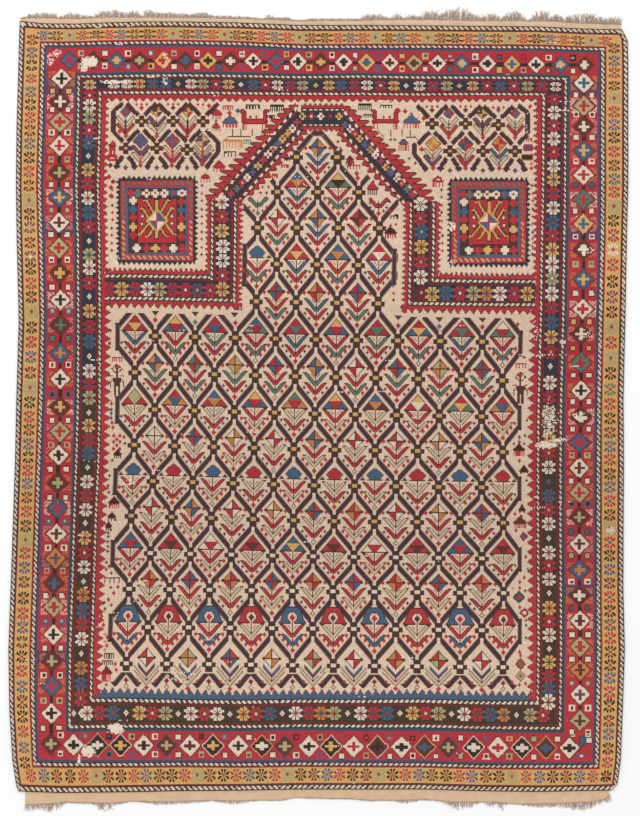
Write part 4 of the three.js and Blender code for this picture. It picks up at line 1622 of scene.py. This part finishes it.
def pale_floor():
    """Matt white paper, brighter than all wool: it gives the rug its soft contact shadow."""
    material, tree = new_material("pale floor")
    shader = node(tree, "ShaderNodeBsdfPrincipled", {
        "Base Color": (0.96, 0.96, 0.96, 1), "Roughness": 1.0, "Specular IOR Level": 0.0,
    })
    finish_material(tree, shader)
    return material


# Pieces.

def make_pile(material):
    """The pile in bands of rows, each knot one face."""
    cols, rows = np.meshgrid(np.arange(COLUMNS + 1.0), np.arange(ROWS + 1.0))
    x, y = metres(*places_of(cols, rows))
    top = pile_height(x, y)
    for line in (top[0], top[-1], top[:, 0], top[:, -1]):
        line[:] = PILE_EDGE
    colours = knot_colours() * DYE_DEPTH
    edges = np.linspace(0, ROWS, BANDS + 1).astype(int)
    pieces = []
    for number, (first, last) in enumerate(zip(edges, edges[1:])):
        part = slice(first, last + 1)
        pieces.append(slab(
            f"pile_rows_{number + 1}", x[part], y[part], top[part], PILE_FOOT, material,
            colours[first:last], (cols[part], rows[part])))
    return pieces


def make_back(material):
    """The woven foundation that carries the knots, a thin slab with the rug's outline."""
    cols, rows = np.meshgrid(np.linspace(0.5, COLUMNS - 0.5, BACK_GRID[0]),
                             np.linspace(0.5, ROWS - 0.5, BACK_GRID[1]))
    x, y = metres(*places_of(cols, rows))
    return slab("rug_back", x, y, np.full(x.shape, BACK_TOP), BACK_FOOT, material)


def make_end_weave(name, hem, row, material, span):
    """Plain-woven end from under the last knots to its outer edge."""
    across = np.linspace(*span, WEAVE_GRID[0])
    number = np.full(across.shape, float(row))
    inner_x, inner_y = places_of(np.interp(across, *edge_span(row)), number)
    share = np.linspace(0, 1, WEAVE_GRID[1])[:, None]
    ys = inner_y[None] * (1 - share) + along(hem, 0, across)[None] * share
    xs = inner_x[None] * (1 - share) + across[None] * share
    if row < ROWS / 2:
        ys, xs = ys[::-1], xs[::-1]
    x, y = metres(xs, ys)
    return slab(name, x, y, np.full(x.shape, WEAVE_TOP), WEAVE_FOOT, material)


def edge_span(row):
    """Places and knot columns at both ends of a row, to read one from the other."""
    cols = np.linspace(2, COLUMNS - 2, 80)
    xs, _ = places_of(cols, np.full(cols.shape, float(row)))
    return xs, cols


STRAND_SIDES = 3
STRAND_POINTS = 7
FLUFF_STEP = (0.26, 0.52)      # places from one strand to the next in the matted upper fringe
SPARSE_STEP = (0.3, 0.75)       # and in the worn lower one


def make_fringe(name, hem, tufts, seed, material, outward, step, swirl):
    """Loose warp ends along the hem, each a thin tapering strand that curls a little."""
    rng = random.Random(seed)
    points, faces = [], []
    x, last = hem[0][0] + 1, hem[-1][0] - 1
    while x < last:
        start, tip = float(along(hem, 0, x)), float(along(tufts, 0, x))
        reach = max(abs(tip - start), 2.0) * rng.uniform(0.6, 1.05)
        add_strand(points, faces, x, start, reach * outward, swirl, rng)
        x += rng.uniform(*step)
    mesh = bpy.data.meshes.new(name)
    mesh.from_pydata(points, [], faces)
    mesh.materials.append(material)
    return add_object(name, mesh)


def add_strand(points, faces, x, start, reach, swirl, rng):
    """One strand: rings of points from inside the weave to its tip, then the faces between."""
    lean, curl = rng.gauss(0, 0.3) * abs(reach), rng.uniform(-0.8, 0.8) * swirl
    turn, radius = rng.uniform(0, 6.28), rng.uniform(0.46, 0.74) * MM
    lift = rng.uniform(0.1, 1.6) * MM * swirl
    base = len(points)
    for step in range(STRAND_POINTS):
        share = step / (STRAND_POINTS - 1)
        side = lean * share ** 1.6 + curl * math.sin(share * 7 + turn) * min(share * 2, 1)
        px, py = metres(x + side, start + reach * share - math.copysign(0.8, reach))
        pz = (0.9 - 0.3 * share) * MM + 0.25 * MM * math.sin(share * 7 + turn)
        pz += lift * math.sin(share * 3)
        thin = radius * (1 - 0.4 * share)
        for corner in range(STRAND_SIDES):
            angle = 2 * math.pi * corner / STRAND_SIDES
            points.append((px + thin * math.cos(angle), py, pz + thin * math.sin(angle)))
    rings = [list(range(base + step * STRAND_SIDES, base + (step + 1) * STRAND_SIDES))
             for step in range(STRAND_POINTS)]
    made = []
    for low, high in zip(rings, rings[1:]):
        for corner in range(STRAND_SIDES):
            after = (corner + 1) % STRAND_SIDES
            made.append([low[corner], low[after], high[after], high[corner]])
    made += [rings[0][::-1], rings[-1]]
    faces.extend(face if reach > 0 else face[::-1] for face in made)


# Studio.

CAMERA_HEIGHT = 6.0
SENSOR = 36.0
SKY_LIGHT = 0.86
LAMP_POWER = 54.0
LAMP_SIZE = 3.0
LAMP_PLACE = (-1.6, 2.2, 3.4)      # beyond the rug's upper left corner
LAMP_TURN = (-32, -22, 0)          # degrees, so that it looks at the rug


def make_studio():
    """A white floor, even light from all round and one soft lamp, camera straight above."""
    bpy.ops.mesh.primitive_plane_add(size=30, location=(0, 0, 0))
    floor = bpy.context.object
    floor.name = "floor"
    floor.data.materials.append(pale_floor())

    world = bpy.data.worlds.new("soft studio")
    world.use_nodes = True
    sky = world.node_tree.nodes["Background"].inputs
    sky["Color"].default_value = (1, 1, 1, 1)
    sky["Strength"].default_value = SKY_LIGHT
    bpy.context.scene.world = world

    lamp = bpy.data.lights.new("soft lamp", "AREA")
    lamp.energy = LAMP_POWER
    lamp.size = LAMP_SIZE
    holder = add_object("soft lamp", lamp)
    holder.location = LAMP_PLACE
    holder.rotation_euler = [math.radians(angle) for angle in LAMP_TURN]

    camera = bpy.data.cameras.new("camera")
    camera.sensor_width = SENSOR
    camera.lens = SENSOR * (CAMERA_HEIGHT - PILE_TOP) / (PICTURE[1] * UNIT)
    camera.clip_end = 50
    eye = add_object("camera", camera)
    eye.location = (*metres(PICTURE[0] / 2, PICTURE[1] / 2), CAMERA_HEIGHT)
    bpy.context.scene.camera = eye
    bpy.context.scene.view_settings.view_transform = "Standard"


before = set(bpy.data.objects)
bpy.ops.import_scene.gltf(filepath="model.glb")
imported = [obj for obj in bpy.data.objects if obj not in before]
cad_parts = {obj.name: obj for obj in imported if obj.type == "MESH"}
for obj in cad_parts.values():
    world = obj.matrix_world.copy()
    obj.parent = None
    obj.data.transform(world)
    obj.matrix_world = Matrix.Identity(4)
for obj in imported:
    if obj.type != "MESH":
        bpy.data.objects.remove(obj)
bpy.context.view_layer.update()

pile_wool = knotted_wool_pile()
back_wool = plain_woven_wool("plain-woven wool foundation", "#E6CDB4")
upper_wool = plain_woven_wool("plain-woven upper end", "#E9CBB0")
lower_wool = plain_woven_wool("plain-woven lower end", "#E4C5A4")
end_wool = spun_wool_ends()

pile = make_pile(pile_wool)
back = make_back(back_wool)
upper_end = make_end_weave("end_weave_upper", TOP_HEM, 1, upper_wool, (21, 621))
lower_end = make_end_weave("end_weave_lower", BOTTOM_HEM, ROWS - 1, lower_wool, (25, 609))
upper_fringe = make_fringe(
    "fringe_upper", TOP_HEM, TOP_TUFTS, 5, end_wool, -1, FLUFF_STEP, 1.5)
lower_fringe = make_fringe(
    "fringe_lower", BOTTOM_HEM, BOTTOM_TUFTS, 9, end_wool, 1, SPARSE_STEP, 1.3)

for piece in pile + [back, upper_end, lower_end, upper_fringe, lower_fringe]:
    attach(piece, "root")
for piece in pile + [back]:
    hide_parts("rug_body")
for piece in (upper_end, upper_fringe):
    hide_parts("end_strip_upper")
for piece in (lower_end, lower_fringe):
    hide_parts("end_strip_lower")

make_studio()
